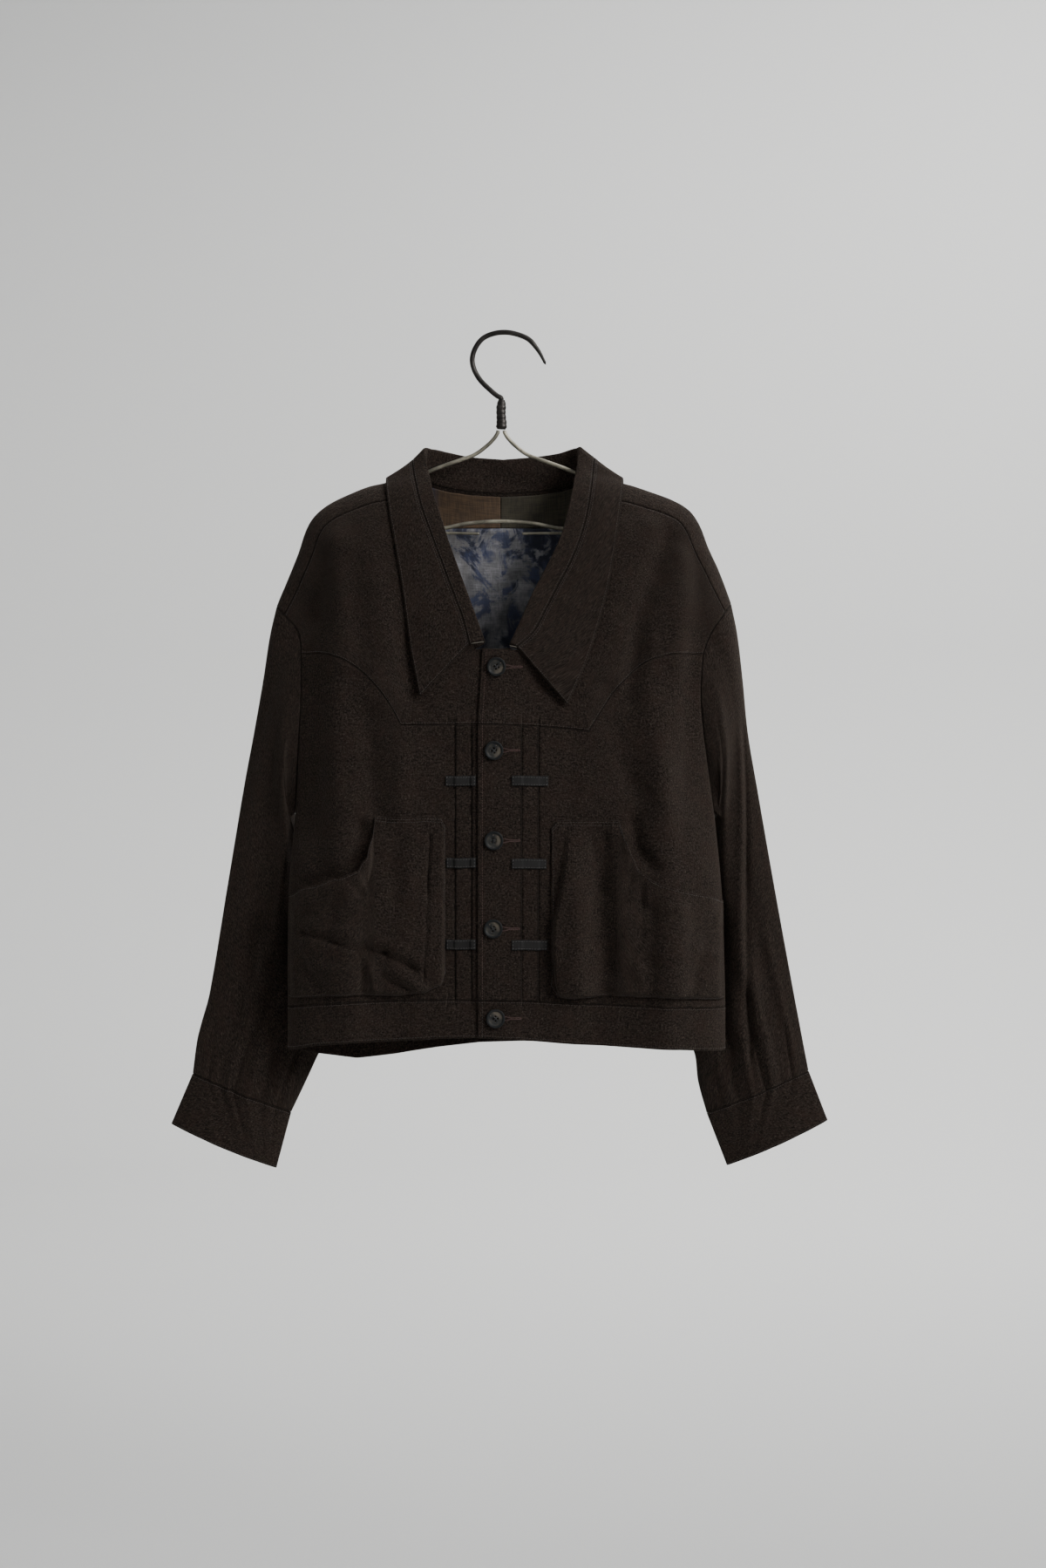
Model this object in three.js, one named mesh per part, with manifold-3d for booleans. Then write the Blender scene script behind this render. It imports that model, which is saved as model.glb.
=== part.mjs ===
// A cropped work jacket hanging on a wire hanger.
// Millimetres, +Z up, the front faces -Y and +X is the wearer's left.
// The origin is the top of the inside of the hook, where the hanger hangs.
//
// The cloth is made in two steps. Each cut piece is first a thin patchwork of points on the body
// or sleeve surface, with the same points on both sides of every seam. Each patchwork then becomes
// a closed wall: its points are moved out and in by half the cloth along normals that
// neighbouring pieces share, and its edges are drawn back by half the seam gap.

import * as THREE from 'three';
import { mergeVertices } from 'three/addons/utils/BufferGeometryUtils.js';
import Module from 'manifold-3d';

const wasm = await Module();
wasm.setup();

// ---------------------------------------------------------------- driving dimensions

const CLOTH = 1.8;                 // wall of the outer cloth
const LINING = 1.0;                // wall of the lining and the neck facing
const RIBBON = 0.9;                // wall of the ribbon tabs
const SEAM_GAP = 0.3;              // between pieces that are sewn together
const CENTRE_X = -8;               // middle of the body

const FRONT_TURN = 110;            // how far below the shoulder the front reaches its full depth
const BACK_TURN = 60;              // the same for the back
const FRONT_SIDE_TURN = 70;        // how far in from the side seam the front reaches its full depth
const BACK_SIDE_TURN = 70;         // the same for the back
const ARMHOLE_TOP = -342;          // above this the front runs on into the sleeve
const UNDERARM = -508;             // below this front and back meet at the side seam
const SHOULDER_SEAM_DROP = 20;     // the shoulder seam lies this far in front of the ridge
const BACK_SIDE_DEPTH = 10;        // the back is this deep where the sleeves hang behind it
const BACK_FLAT_Z = [-440, -545];  // heights between which the back sinks to that depth
const BACK_FLAT_X = [85, 165];     // and how far from the middle
const WAIST_AT_SIDE = -716;        // height of the waist seam at the side seams
const YOKE_AT_EDGE = -417;         // height of the yoke seam at the front edge
const FRONT_TOP = -337;            // height of the top of the front edge

const LAP = 2.8;                   // the buttoned edge stands this far outside the front below it
const LAP_FROM = 5;                // x where the lap starts to sink back to the front
const LAP_TO = 45;                 // x where it has sunk back
const LAP_EDGE = -34.4;            // x of the buttoned edge at the yoke seam
const LAP_EDGE_TOP = -30;          // and at its top
const UNDER_EDGE = 0;              // x of the hidden edge of the front below it
const TUCK_STEP = 1.6;             // height of one pressed tuck
const TUCK_RAMP = 1.2;             // half the width of its fold
const TUCKS = { right: [-40, -57.2], left: [11, 28.5] };   // x of the two folds on each front
const TUCK_START = [-398, -416];   // heights between which a tuck rises under the yoke
const TUCK_END = [-704, -718];     // and sinks again in the waistband

const ROLL_RADIUS = 2.1;           // of the collar's fold
const ROLL_CLEAR = 2;              // least height of its roll over the front's surface, run on
const LEAF_CLEAR = 3.5;            // least height of the collar leaf over the front
const BAND_HEIGHT = 44;            // of the waistband behind
const BAND_HEIGHT_SIDE = 45.6;     // and at the side seams
const CUFF_LAP = 2.9;              // the cuff's lap stands this far outside its start
const CUFF_LAPPED = 3;             // columns of the cuff that lie over its start
const CUFF_START = 5;              // columns from the underarm to that start, behind
const HANGER_X = -10.2;            // the hanger's middle
const LEFT_ARM_SHARE = 0.985;      // the hanger's left arm is a little shorter
const BUTTON = { radius: 10, rim: 1.7, thick: 3.2, dish: 1.1, hole: 1.0, spread: 1.75, clear: 0.7 };

// ---------------------------------------------------------------- tables

const table = (names, rows) => rows.map((row) => Object.fromEntries(names.map((name, i) => [name, row[i]])));

// Ridge of the shoulder from the neck to its tip, then the outer fold of the sleeve.
const OUTLINE = {
  right: table(['x', 'z'], [
    [-98, -146], [-115, -152], [-133, -158.5], [-150, -162.3], [-163.7, -167.4], [-191.6, -180.4],
    [-208.3, -193.4], [-217.6, -208.3], [-226, -233.4], [-237.2, -261.3], [-249.2, -290.1]]),
  left: table(['x', 'z'], [
    [82, -146], [99, -152], [117, -158.5], [130, -162], [143.2, -166.5], [171.1, -176.7],
    [189.7, -187.8], [200.9, -203.7], [210.2, -227.8], [221.3, -252], [234.4, -287.4]]),
};

// Sleeve folds: the outer fold (o) and the inner fold (i) of each section, and its half depth.
const SLEEVE_COLUMNS = ['ox', 'oy', 'oz', 'ix', 'iy', 'iz', 'half'];
const SLEEVE = {
  right: table(SLEEVE_COLUMNS, [
    [-249.2, 0, -290.1, -229, 2, -508, 24],
    [-256.5, 4, -322, -241.5, 13, -522, 26],
    [-264.1, 8, -368, -235, 25, -548, 26],
    [-274.5, 11, -424, -216, 32, -582, 24.5],
    [-285.4, 14, -480, -198, 35, -622, 22],
    [-304.6, 18, -592, -187, 36, -690, 18.5],
    [-323.7, 20, -705, -199, 35, -750, 16],
    [-332.5, 20, -737, -211, 33, -775, 16],
    [-337, 19, -756, -221, 31, -797, 17],
    [-341.5, 18, -791, -238, 27, -833, 14]]),
  left: table(SLEEVE_COLUMNS, [
    [234.4, 0, -287.4, 216, 2, -508, 24],
    [241, 4, -320, 228.5, 13, -522, 24],
    [247.2, 8, -368, 222, 25, -548, 23],
    [253.3, 12, -424, 203, 32, -582, 21],
    [263, 14, -480, 184, 35, -622, 19],
    [283, 18, -592, 176, 36, -690, 17],
    [303.8, 20, -705, 191, 35, -750, 16],
    [309.5, 20, -735, 200, 33, -773, 16],
    [313.5, 19, -757, 203, 31, -800, 17],
    [319.4, 18, -788, 212, 27, -834, 14]]),
};

// Lower edge of each cuff.
const CUFF_END = {
  right: { ox: -364.6, oy: 18, oz: -845.3, ix: -254, iy: 26, iz: -893.5, half: 15 },
  left: { ox: 340, oy: 18, oz: -841.5, ix: 233.9, iy: 26, iz: -890.7, half: 15 },
};

// Seams of the body, from the top down.
const ARMHOLE_YOKE = {
  right: table(['x', 'z'], [[-240, -300], [-235.7, -305], [-226.8, -316], [-222.7, -328], [-221.6, -342]]),
  left: table(['x', 'z'], [[227, -297], [223, -303], [214.5, -315], [208, -328], [203.4, -342]]),
};
const ARMHOLE_FRONT = {
  right: table(['x', 'z'], [[-221.6, -342], [-222, -378], [-224, -415], [-226.5, -461], [-229, -508]]),
  left: table(['x', 'z'], [[203.4, -342], [201, -378], [203, -415], [209.5, -461], [216, -508]]),
};
const ARMHOLE_BACK = {
  right: table(['x', 'z'], [
    [-249.2, -290.1], [-239, -303], [-229, -320], [-220, -347], [-216, -382], [-216, -422],
    [-220, -464], [-229, -508]]),
  left: table(['x', 'z'], [
    [234.4, -287.4], [225, -301], [215, -318], [206, -345], [201, -382], [201, -422],
    [206.5, -464], [216, -508]]),
};
const SIDE_SEAM = {
  right: table(['x', 'z'], [[-229, -508], [-233.5, -555], [-236.6, -600], [-237.4, -660], [-237.2, -716]]),
  left: table(['x', 'z'], [[216, -508], [221, -555], [224.8, -600], [227, -660], [228.1, -716]]),
};
const YOKE_CURVE = {
  right: table(['x', 'z'], [
    [-114.9, -418], [-128.6, -393.1], [-142.4, -374.7], [-156.2, -361], [-174.6, -349.5],
    [-196, -342.5], [-221.6, -342]]),
  left: table(['x', 'z'], [
    [81.5, -424], [95, -402], [109, -381.1], [127.3, -362.7], [145.7, -350],
    [168.7, -343.5], [203.4, -342]]),
};

// Waist seam and hem across the front, and the hem of the back, which hangs a little lower.
const WAIST = table(['x', 'seam', 'hem', 'back'], [
  [-237.2, -716, -761.6, -761.6], [-205, -711, -754.5, -768], [-165, -707.5, -750.5, -773.2],
  [-124, -706, -749.2, -770], [-78, -705.5, -746.5, -763.5], [-34, -705.5, -745.3, -758.5],
  [13, -706, -748, -757], [68, -709.4, -752.7, -759], [123, -711.4, -755.8, -761],
  [178, -713.5, -758.3, -762], [228.6, -716, -762.6, -762.6]]);

// Depth of the front and the back at the middle, by height.
const DEPTH = table(['z', 'front', 'back'], [
  [-146, 42, 30], [-300, 44, 31], [-420, 45, 31], [-540, 47, 30], [-650, 49, 29], [-706, 46, 31],
  [-765, 44, 30]]);

// Collar by stations, from the end of the V (0) over the shoulder ridge (6) to the back (10):
// the neck seam, the roll, the seam of the turned-over strip and the outer edge of the leaf.
const COLLAR_COLUMNS = ['neckX', 'neckZ', 'rollX', 'rollY', 'rollZ', 'seamX', 'seamY', 'seamZ',
  'edgeX', 'edgeY', 'edgeZ'];
const COLLAR = {
  right: table(COLLAR_COLUMNS, [
    [-37, -338, -27.2, -47, -331, -43.5, -48, -333, -95.3, -50, -388],
    [-47, -309, -37.2, -46, -302.6, -50, -48, -306.5, -104.6, -48, -341.3],
    [-60, -272, -50.1, -44, -267.7, -61, -47, -277, -109.5, -46, -306],
    [-75, -230, -65.8, -39, -225, -74, -44, -242, -114, -44, -271.5],
    [-84, -203, -74.5, -33, -198, -83, -38, -218, -121.8, -38, -226.8],
    [-95, -172, -83.5, -24, -168, -95.7, -28, -181.4, -129, -26, -187.5],
    [-98, -146, -91.9, -3, -125.5, -104.5, -4, -137, -132.8, -3, -153.5],
    [-91, -155, -83.1, 11, -121.4, -97, 22, -133, -122, 30, -168],
    [-70, -161, -66.7, 20, -123.5, -76, 33, -137, -92, 40, -188],
    [-44, -165, -43.4, 28, -127.1, -46, 40, -142, -52, 45, -197],
    [-8.6, -167, -8.6, 31, -129.4, -8.6, 43, -145, -8.6, 47, -200]]),
  left: table(COLLAR_COLUMNS, [
    [8, -339, -0.7, -49, -333.7, 6.5, -50, -336, 59.5, -54, -397],
    [21, -312, 12, -48, -306, 24, -50, -320, 79, -51, -353],
    [34, -283, 24, -46, -279, 36.5, -48, -297, 91, -49, -317],
    [48, -254, 38, -42, -252, 50, -46, -271, 101, -46, -280],
    [62, -222, 53, -36, -220, 66, -40, -240, 108, -40, -243],
    [77, -174, 64, -26, -178, 80, -30, -197, 115, -28, -196],
    [82, -146, 73, -3, -126, 88.5, -4, -136, 119.8, -3, -154],
    [75, -155, 69, 11, -120.3, 84, 22, -133, 108, 30, -168],
    [55, -161, 50.5, 20, -124.5, 60, 33, -137, 76, 40, -188],
    [28, -165, 24.3, 28, -127.1, 28, 40, -142, 34, 45, -197],
    [-8.6, -167, -8.6, 31, -129.4, -8.6, 43, -145, -8.6, 47, -200]]),
};
const RIDGE_STATION = 6;
const SHOULDER_STATION = 5;
const BACK_STATION = 10;

// Soft folds: a ridge (rise above 0) or a trough from (x0, z0) to (x1, z1).
const FOLD_COLUMNS = ['x0', 'z0', 'x1', 'z1', 'width', 'rise'];
const FRONT_FOLDS = table(FOLD_COLUMNS, [
  [-205, -205, -214, -345, 11, -4], [-181, -222, -179, -345, 14, 4], [-113, -300, -113, -380, 10, -2.5],
  [165, -222, 134, -311, 11, -3.5], [134, -311, 124, -367, 10, -3], [181, -240, 179, -345, 12, 4],
  [196, -240, 197, -292, 8, -2.5], [106, -380, 125, -478, 11, -2.5], [-150, -640, -140, -640, 70, 5],
  [100, -650, 140, -630, 66, 6], [66, -620, 66, -680, 18, 4.5], [-196, -470, -160, -520, 20, -2.5],
  [176, -470, 150, -520, 20, -2.5]]);
const SLEEVE_FOLDS = table(['across0', 'down0', 'across1', 'down1', 'width', 'rise'], [
  [0.32, 0.12, 0.42, 0.9, 0.1, 4], [0.62, 0.55, 0.4, 0.95, 0.07, -3.5], [0.18, 0.3, 0.14, 0.85, 0.06, -3],
  [0.3, 0.84, 0.28, 0.97, 0.05, -3], [0.66, 0.86, 0.7, 0.97, 0.05, -3]]);

// Patch pockets: the outline walked as columns from the inner seam to the side seam, the top and
// bottom of each column. The hand opening is the falling part of the top.
const POCKET = {
  right: table(['x', 'top', 'bottom'], [
    [-68.5, -524, -676], [-73, -515, -690], [-90, -513.5, -698], [-115, -513.7, -700],
    [-141.9, -514, -700], [-144.5, -536, -700], [-150, -556, -700], [-160, -571, -700],
    [-174, -581, -701], [-186, -586, -702], [-197, -589.5, -702.5], [-207, -591.7, -703.3],
    [-216, -593.4, -704], [-223, -595, -705], [-229, -596.2, -705.5], [-233, -597, -706]]),
  left: table(['x', 'top', 'bottom'], [
    [42.5, -525.4, -690], [49.4, -518, -702], [66, -517.2, -704], [90, -517.2, -702],
    [113.2, -517.2, -701], [117.5, -534.5, -701], [124.2, -554.6, -701], [133.3, -571, -702],
    [149.8, -582, -702], [164, -587.6, -703], [177, -591.5, -704], [189, -594.5, -705], [199, -596.5, -706],
    [207, -598.5, -706.4], [214, -600.4, -706.7], [219, -602, -706.9], [223, -603, -707]]),
};
const POCKET_PUFF = { right: 1.6, left: 2.6 };
const POCKET_EASE = 0.7;           // between the edge of a pocket and the front it lies on

// Ribbon tabs across the tucks: their ends and their height.
const TABS = {
  right: table(['inner', 'outer', 'z'], [[-36.2, -68.1, -476.2], [-36.2, -67.4, -562], [-36.2, -67.4, -647]]),
  left: table(['inner', 'outer', 'z'], [[1.2, 39.5, -476.2], [1.2, 37.6, -562.8], [1.2, 38.5, -647.6]]),
};
const TAB_HEIGHT = 10.6;

const BUTTONS = table(['x', 'z'], [[-14.8, -356.7], [-17.5, -444.3], [-17.5, -538.6], [-18, -630.6],
  [-16.1, -725]]);

// ---------------------------------------------------------------- curves and grids

const { lerp, clamp } = THREE.MathUtils;
const mix = (a, b, t) => a.map((value, i) => lerp(value, b[i], t));
const ease = (from, to, value) => {
  const t = clamp((value - from) / (to - from), 0, 1);
  return t * t * (3 - 2 * t);
};
const even = (count) => Array.from({ length: count + 1 }, (_, i) => i / count);
// A quarter round: 0 at the edge, rising steeply, 1 from a distance of one turn.
const dome = (t) => (t <= 0 ? 0 : t >= 1 ? 1 : Math.sqrt(t * (2 - t)));

// Length along a run of points of any dimension, at each of them.
function lengths(points) {
  const at = [0];
  for (let i = 1; i < points.length; i++) {
    at.push(at[i - 1] + Math.hypot(...points[i].map((v, k) => v - points[i - 1][k])));
  }
  return at;
}
// The same as fractions of the whole.
function fractions(points) {
  const at = lengths(points);
  return at.map((s) => s / at.at(-1));
}

// A smooth curve through points of any dimension, run by chord length from 0 to 1.
function curveThrough(points) {
  const last = points.length - 1;
  const at = lengths(points);
  const slope = (i, k) => {
    const [a, b] = [Math.max(i - 1, 0), Math.min(i + 1, last)];
    return (points[b][k] - points[a][k]) / (at[b] - at[a]);
  };
  return (t) => {
    const s = clamp(t, 0, 1) * at[last];
    let i = 0;
    while (i < last - 1 && at[i + 1] < s) i++;
    const h = at[i + 1] - at[i];
    const f = (s - at[i]) / h;
    return points[i].map((from, k) => from * (2 * f ** 3 - 3 * f ** 2 + 1)
      + slope(i, k) * h * (f ** 3 - 2 * f ** 2 + f)
      + points[i + 1][k] * (3 * f ** 2 - 2 * f ** 3) + slope(i + 1, k) * h * (f ** 3 - f ** 2));
  };
}
const columnsOf = (rows, names) => rows.map((row) => names.map((name) => row[name]));
const seamCurve = (rows) => curveThrough(columnsOf(rows, ['x', 'z']));

// The row of a table at a key between its rows, in straight steps from row to row.
function rowAt(rows, key, value) {
  const rising = rows[1][key] > rows[0][key];
  const last = rows.length - 1;
  let i = 0;
  while (i < last - 1 && (rising ? rows[i + 1][key] < value : rows[i + 1][key] > value)) i++;
  const [a, b] = [rows[i], rows[i + 1]];
  const t = clamp((value - a[key]) / (b[key] - a[key]), 0, 1);
  return Object.fromEntries(Object.keys(a).map((name) => [name, lerp(a[name], b[name], t)]));
}

// ---------------------------------------------------------------- the body's surface

const outlineDense = ['right', 'left'].flatMap((side) => {
  const down = SLEEVE[side].slice(1).map((row) => [row.ox, row.oz]);
  const points = [...columnsOf(OUTLINE[side], ['x', 'z']), ...down];
  const curve = curveThrough(points);
  const dense = even(90).map(curve);
  return side === 'right' ? [dense.reverse()] : [dense];
}).flat();

// Distance inside the outline of the shoulders and sleeves, less than 0 outside it.
function insideOutline(x, z) {
  let best = Infinity;
  let sign = 1;
  for (let i = 1; i < outlineDense.length; i++) {
    const [[ax, az], [bx, bz]] = [outlineDense[i - 1], outlineDense[i]];
    const [dx, dz] = [bx - ax, bz - az];
    const t = clamp(((x - ax) * dx + (z - az) * dz) / (dx * dx + dz * dz), 0, 1);
    const away = Math.hypot(x - ax - t * dx, z - az - t * dz);
    if (away < best) {
      best = away;
      sign = dx * (z - az) - dz * (x - ax) > 0 ? -1 : 1;
    }
  }
  return sign * best;
}

const sideOf = (x) => (x < CENTRE_X ? 'right' : 'left');
function sideEdge(x, z) {
  const side = sideOf(x);
  const rows = z > UNDERARM ? [...ARMHOLE_YOKE[side], ...ARMHOLE_FRONT[side].slice(1)] : SIDE_SEAM[side];
  return rowAt(rows, 'z', z).x;
}
function backSideEdge(x, z) {
  const side = sideOf(x);
  return rowAt(z > UNDERARM ? ARMHOLE_BACK[side] : SIDE_SEAM[side], 'z', z).x;
}
const inward = (x, edge) => (x < CENTRE_X ? x - edge : edge - x);
// 1 where the body runs on into the sleeve, 0 where front and back meet at the side.
const sleeveHold = (z) => ease(UNDERARM, ARMHOLE_TOP, z);

function folds(rows, x, z, [x0, z0, x1, z1]) {
  return rows.reduce((sum, fold) => {
    const [dx, dz] = [fold[x1] - fold[x0], fold[z1] - fold[z0]];
    const t = clamp(((x - fold[x0]) * dx + (z - fold[z0]) * dz) / (dx * dx + dz * dz), 0, 1);
    const away = Math.hypot(x - fold[x0] - t * dx, z - fold[z0] - t * dz) / fold.width;
    return sum + fold.rise * Math.exp(-away * away);
  }, 0);
}

function tuckHeight(x, z, lines) {
  const held = ease(...TUCK_START, z) * (1 - ease(...TUCK_END, z));
  const outwards = Math.sign(lines[1] - lines[0]);
  return held * lines.reduce((sum, line) => sum
    + TUCK_STEP * (1 - clamp(((x - line) * outwards + TUCK_RAMP) / (2 * TUCK_RAMP), 0, 1)), 0);
}

// y of the front without lap or tucks, then of the right and left fronts.
function plainFront(x, z) {
  const shoulder = dome(insideOutline(x, z) / FRONT_TURN);
  const side = dome(inward(x, sideEdge(x, z)) / FRONT_SIDE_TURN);
  const hold = sleeveHold(z);
  const body = shoulder * (1 - (1 - hold) * (1 - side));
  const depth = rowAt(DEPTH, 'z', z).front;
  return -body * (depth + folds(FRONT_FOLDS, x, z, ['x0', 'z0', 'x1', 'z1']));
}
const rightFront = (x, z) => plainFront(x, z) - tuckHeight(x, z, TUCKS.right);
const lapHeight = (x) => LAP * (1 - ease(LAP_FROM, LAP_TO, x));
const leftFront = (x, z) => plainFront(x, z) - tuckHeight(x, z, TUCKS.left) - lapHeight(x);
const FRONT = { right: rightFront, left: leftFront };

// The same surfaces moved out by a clearance, also over the ridge.
function clearFront(side, x, z, gap) {
  const near = insideOutline(x, z) + gap;
  if (near <= 0) return Infinity;
  const depth = rowAt(DEPTH, 'z', z).front;
  if (near > FRONT_TURN) return FRONT[side](x, z) - gap;
  return Math.min(-(depth + gap) * dome(near / (FRONT_TURN + gap)), FRONT[side](x, z) - gap);
}
function clearBack(x, z, gap) {
  const near = insideOutline(x, z) + gap;
  if (near <= 0) return -Infinity;
  const depth = rowAt(DEPTH, 'z', z).back;
  return Math.max((depth + gap) * dome(near / (BACK_TURN + gap)), back(x, z) + gap);
}

function back(x, z) {
  const shoulder = dome(insideOutline(x, z) / BACK_TURN);
  const side = dome(inward(x, backSideEdge(x, z)) / BACK_SIDE_TURN);
  const hold = sleeveHold(z);
  const low = ease(...BACK_FLAT_Z, z) * ease(...BACK_FLAT_X, Math.abs(x - CENTRE_X));
  const depth = lerp(rowAt(DEPTH, 'z', z).back, BACK_SIDE_DEPTH, low);
  return shoulder * (1 - (1 - hold) * (1 - side)) * depth;
}

// Outward normal of a height field y = surface(x, z) that faces -Y (towards = -1) or +Y.
function heightNormal(surface, x, z, towards) {
  const step = 0.5;
  const slopeX = (surface(x + step, z) - surface(x - step, z)) / (2 * step);
  const slopeZ = (surface(x, z + step) - surface(x, z - step)) / (2 * step);
  const length = Math.hypot(slopeX, 1, slopeZ) * -towards;
  return [slopeX / length, -1 / length, slopeZ / length];
}
function lifted(surface, x, z, height, towards = -1) {
  const normal = heightNormal(surface, x, z, towards);
  return [x + normal[0] * height, surface(x, z) + normal[1] * height, z + normal[2] * height];
}

// ---------------------------------------------------------------- walls

const keyOf = (p) => p.map((v) => Math.round(v * 50)).join();

// One patch is rows of points. facing is the outward direction of its middle cell.
function patch(rows, facing) {
  const [i, j] = [Math.floor((rows.length - 1) / 2), Math.floor((rows[0].length - 1) / 2)];
  const v = (p) => new THREE.Vector3(...p);
  const across = v(rows[i][j + 1]).sub(v(rows[i][j]));
  const down = v(rows[i + 1][j]).sub(v(rows[i][j]));
  const flip = across.cross(down).dot(v(facing)) < 0;
  return { rows, flip };
}

// A piece's patches merged into one triangle mesh with its open edges.
function pieceMesh(patches) {
  const points = [];
  const index = new Map();
  const vertex = (p) => {
    const key = keyOf(p);
    if (!index.has(key)) {
      index.set(key, points.length);
      points.push(new THREE.Vector3(...p));
    }
    return index.get(key);
  };
  const faces = [];
  const add = (a, b, c, flip) => {
    if (a !== b && b !== c && a !== c) faces.push(flip ? [a, c, b] : [a, b, c]);
  };
  for (const { rows, flip } of patches) {
    const ids = rows.map((row) => row.map(vertex));
    for (let i = 0; i < rows.length - 1; i++) {
      for (let j = 0; j < rows[0].length - 1; j++) {
        const [a, b, c, d] = [ids[i][j], ids[i][j + 1], ids[i + 1][j + 1], ids[i + 1][j]];
        if (points[a].distanceTo(points[c]) <= points[b].distanceTo(points[d])) {
          add(a, b, c, flip);
          add(a, c, d, flip);
        } else {
          add(a, b, d, flip);
          add(b, c, d, flip);
        }
      }
    }
  }
  const edges = new Map();
  faces.forEach((face, f) => face.forEach((a, k) => {
    const b = face[(k + 1) % 3];
    const twin = `${b},${a}`;
    if (edges.has(twin)) edges.delete(twin);
    else edges.set(`${a},${b}`, { a, b, face: f });
  }));
  return { points, faces, open: [...edges.values()] };
}

// Normals summed over all the given pieces, so that a seam's two edges share theirs.
function sharedNormals(meshes) {
  const sums = new Map();
  for (const { points, faces } of meshes) {
    for (const [a, b, c] of faces) {
      const n = points[b].clone().sub(points[a]).cross(points[c].clone().sub(points[a]));
      for (const id of [a, b, c]) {
        const key = keyOf(points[id].toArray());
        if (!sums.has(key)) sums.set(key, new THREE.Vector3());
        sums.get(key).add(n);
      }
    }
  }
  sums.forEach((sum) => sum.normalize());
  return (p) => sums.get(keyOf(p.toArray()));
}

// The closed wall of one piece: outside, inside and rims.
function wall({ points, faces, open }, thickness, normalAt) {
  const drawn = points.map(() => new THREE.Vector3());
  const ownNormal = sharedNormals([{ points, faces }]);
  for (const { a, b, face } of open) {
    const along = points[b].clone().sub(points[a]).normalize();
    const third = faces[face].find((id) => id !== a && id !== b);
    const inwards = points[third].clone().sub(points[a]);
    inwards.addScaledVector(along, -inwards.dot(along)).normalize();
    drawn[a].add(inwards);
    drawn[b].add(inwards);
  }
  const position = [];
  const put = (p) => {
    position.push(p.x, p.y, p.z);
    return position.length / 3 - 1;
  };
  const sides = points.map((p, i) => {
    const move = drawn[i];
    const n = normalAt(p);
    if (move.lengthSq() > 0) {
      // Two edges meet at a vertex: their sum is made long enough to clear both. In a sharp
      // crease, where the shared normal leans away from the piece's own, it is longer.
      const lean = clamp(n.dot(ownNormal(p)), 0.2, 1);
      const unit = move.clone().normalize();
      move.copy(unit.multiplyScalar((SEAM_GAP / 2) / Math.max(move.length() / 2, 0.55) / lean ** 1.5));
    }
    const middle = p.clone().add(move);
    return [thickness / 2, -thickness / 2].map((out) => put(middle.clone().addScaledVector(n, out)));
  });
  const triangles = faces.flatMap(([a, b, c]) => [
    sides[a][0], sides[b][0], sides[c][0], sides[a][1], sides[c][1], sides[b][1]]);
  for (const { a, b } of open) {
    triangles.push(sides[b][0], sides[a][0], sides[a][1], sides[b][0], sides[a][1], sides[b][1]);
  }
  const geometry = new THREE.BufferGeometry();
  geometry.setAttribute('position', new THREE.Float32BufferAttribute(position, 3));
  geometry.setIndex(triangles);
  return geometry;
}

// A panel's inner points: straight columns from its bottom to its top edge, bent to its two ends.
function panelGrid(bottom, top, first, last, surface) {
  const lastColumn = bottom.length - 1;
  const rows = first.length;
  const [firstAt, lastAt] = [fractions(first), fractions(last)];
  return even(rows - 1).map((_, r) => bottom.map((low, c) => {
    const u = c / lastColumn;
    const v = lerp(firstAt[r], lastAt[r], u);
    const straight = mix(low, top[c], v);
    const bendFirst = mix(bottom[0], top[0], firstAt[r]);
    const bendLast = mix(bottom[lastColumn], top[lastColumn], lastAt[r]);
    const xz = straight.map((value, k) => value + (1 - u) ** 3 * (first[r][k] - bendFirst[k])
      + u ** 3 * (last[r][k] - bendLast[k]));
    return [xz[0], surface(xz[0], xz[1]), xz[1]];
  }));
}

// ---------------------------------------------------------------- seams shared by the pieces

const SIDE_STEPS = even(7);
const ARMHOLE_FRONT_STEPS = even(6);
const ARMHOLE_YOKE_STEPS = [0, 0.12, 0.32, 0.6, 0.82, 1];
const ARMHOLE_BACK_STEPS = [0, 0.02, 0.06, 0.13, 0.24, 0.4, 0.56, 0.7, 0.85, 1];
const STRIP_STEPS = [0, 0.12, 0.45, 1];
const CURVE_COLUMNS = 8;           // panel columns outside the tucks
const INNER_COLUMNS = {            // x of the panel columns from the front edge to the yoke's corner
  right: [UNDER_EDGE, -19, -38.8, -41.2, -56, -58.4, -72, -92, -114.9],
  left: [LAP_EDGE, -22, -6, 9.8, 12.2, 27.3, 29.7, 45, 81.5],
};
const BACK_NECK_STATIONS = [6.12, 6.45, 7, 8, 9];
const TOP_FLAT = 3;                // yoke columns along the top of the front edge

const waistSeam = (x) => rowAt(WAIST, 'x', x).seam;
const frontHem = (x) => rowAt(WAIST, 'x', x).hem;
const backHem = (x) => rowAt(WAIST, 'x', x).back;
const backWaist = (x) => {
  const nearSide = Math.min(1, Math.min(x - WAIST[0].x, WAIST.at(-1).x - x) / 60);
  return backHem(x) + lerp(BAND_HEIGHT_SIDE, BAND_HEIGHT, clamp(nearSide, 0, 1));
};

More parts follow.
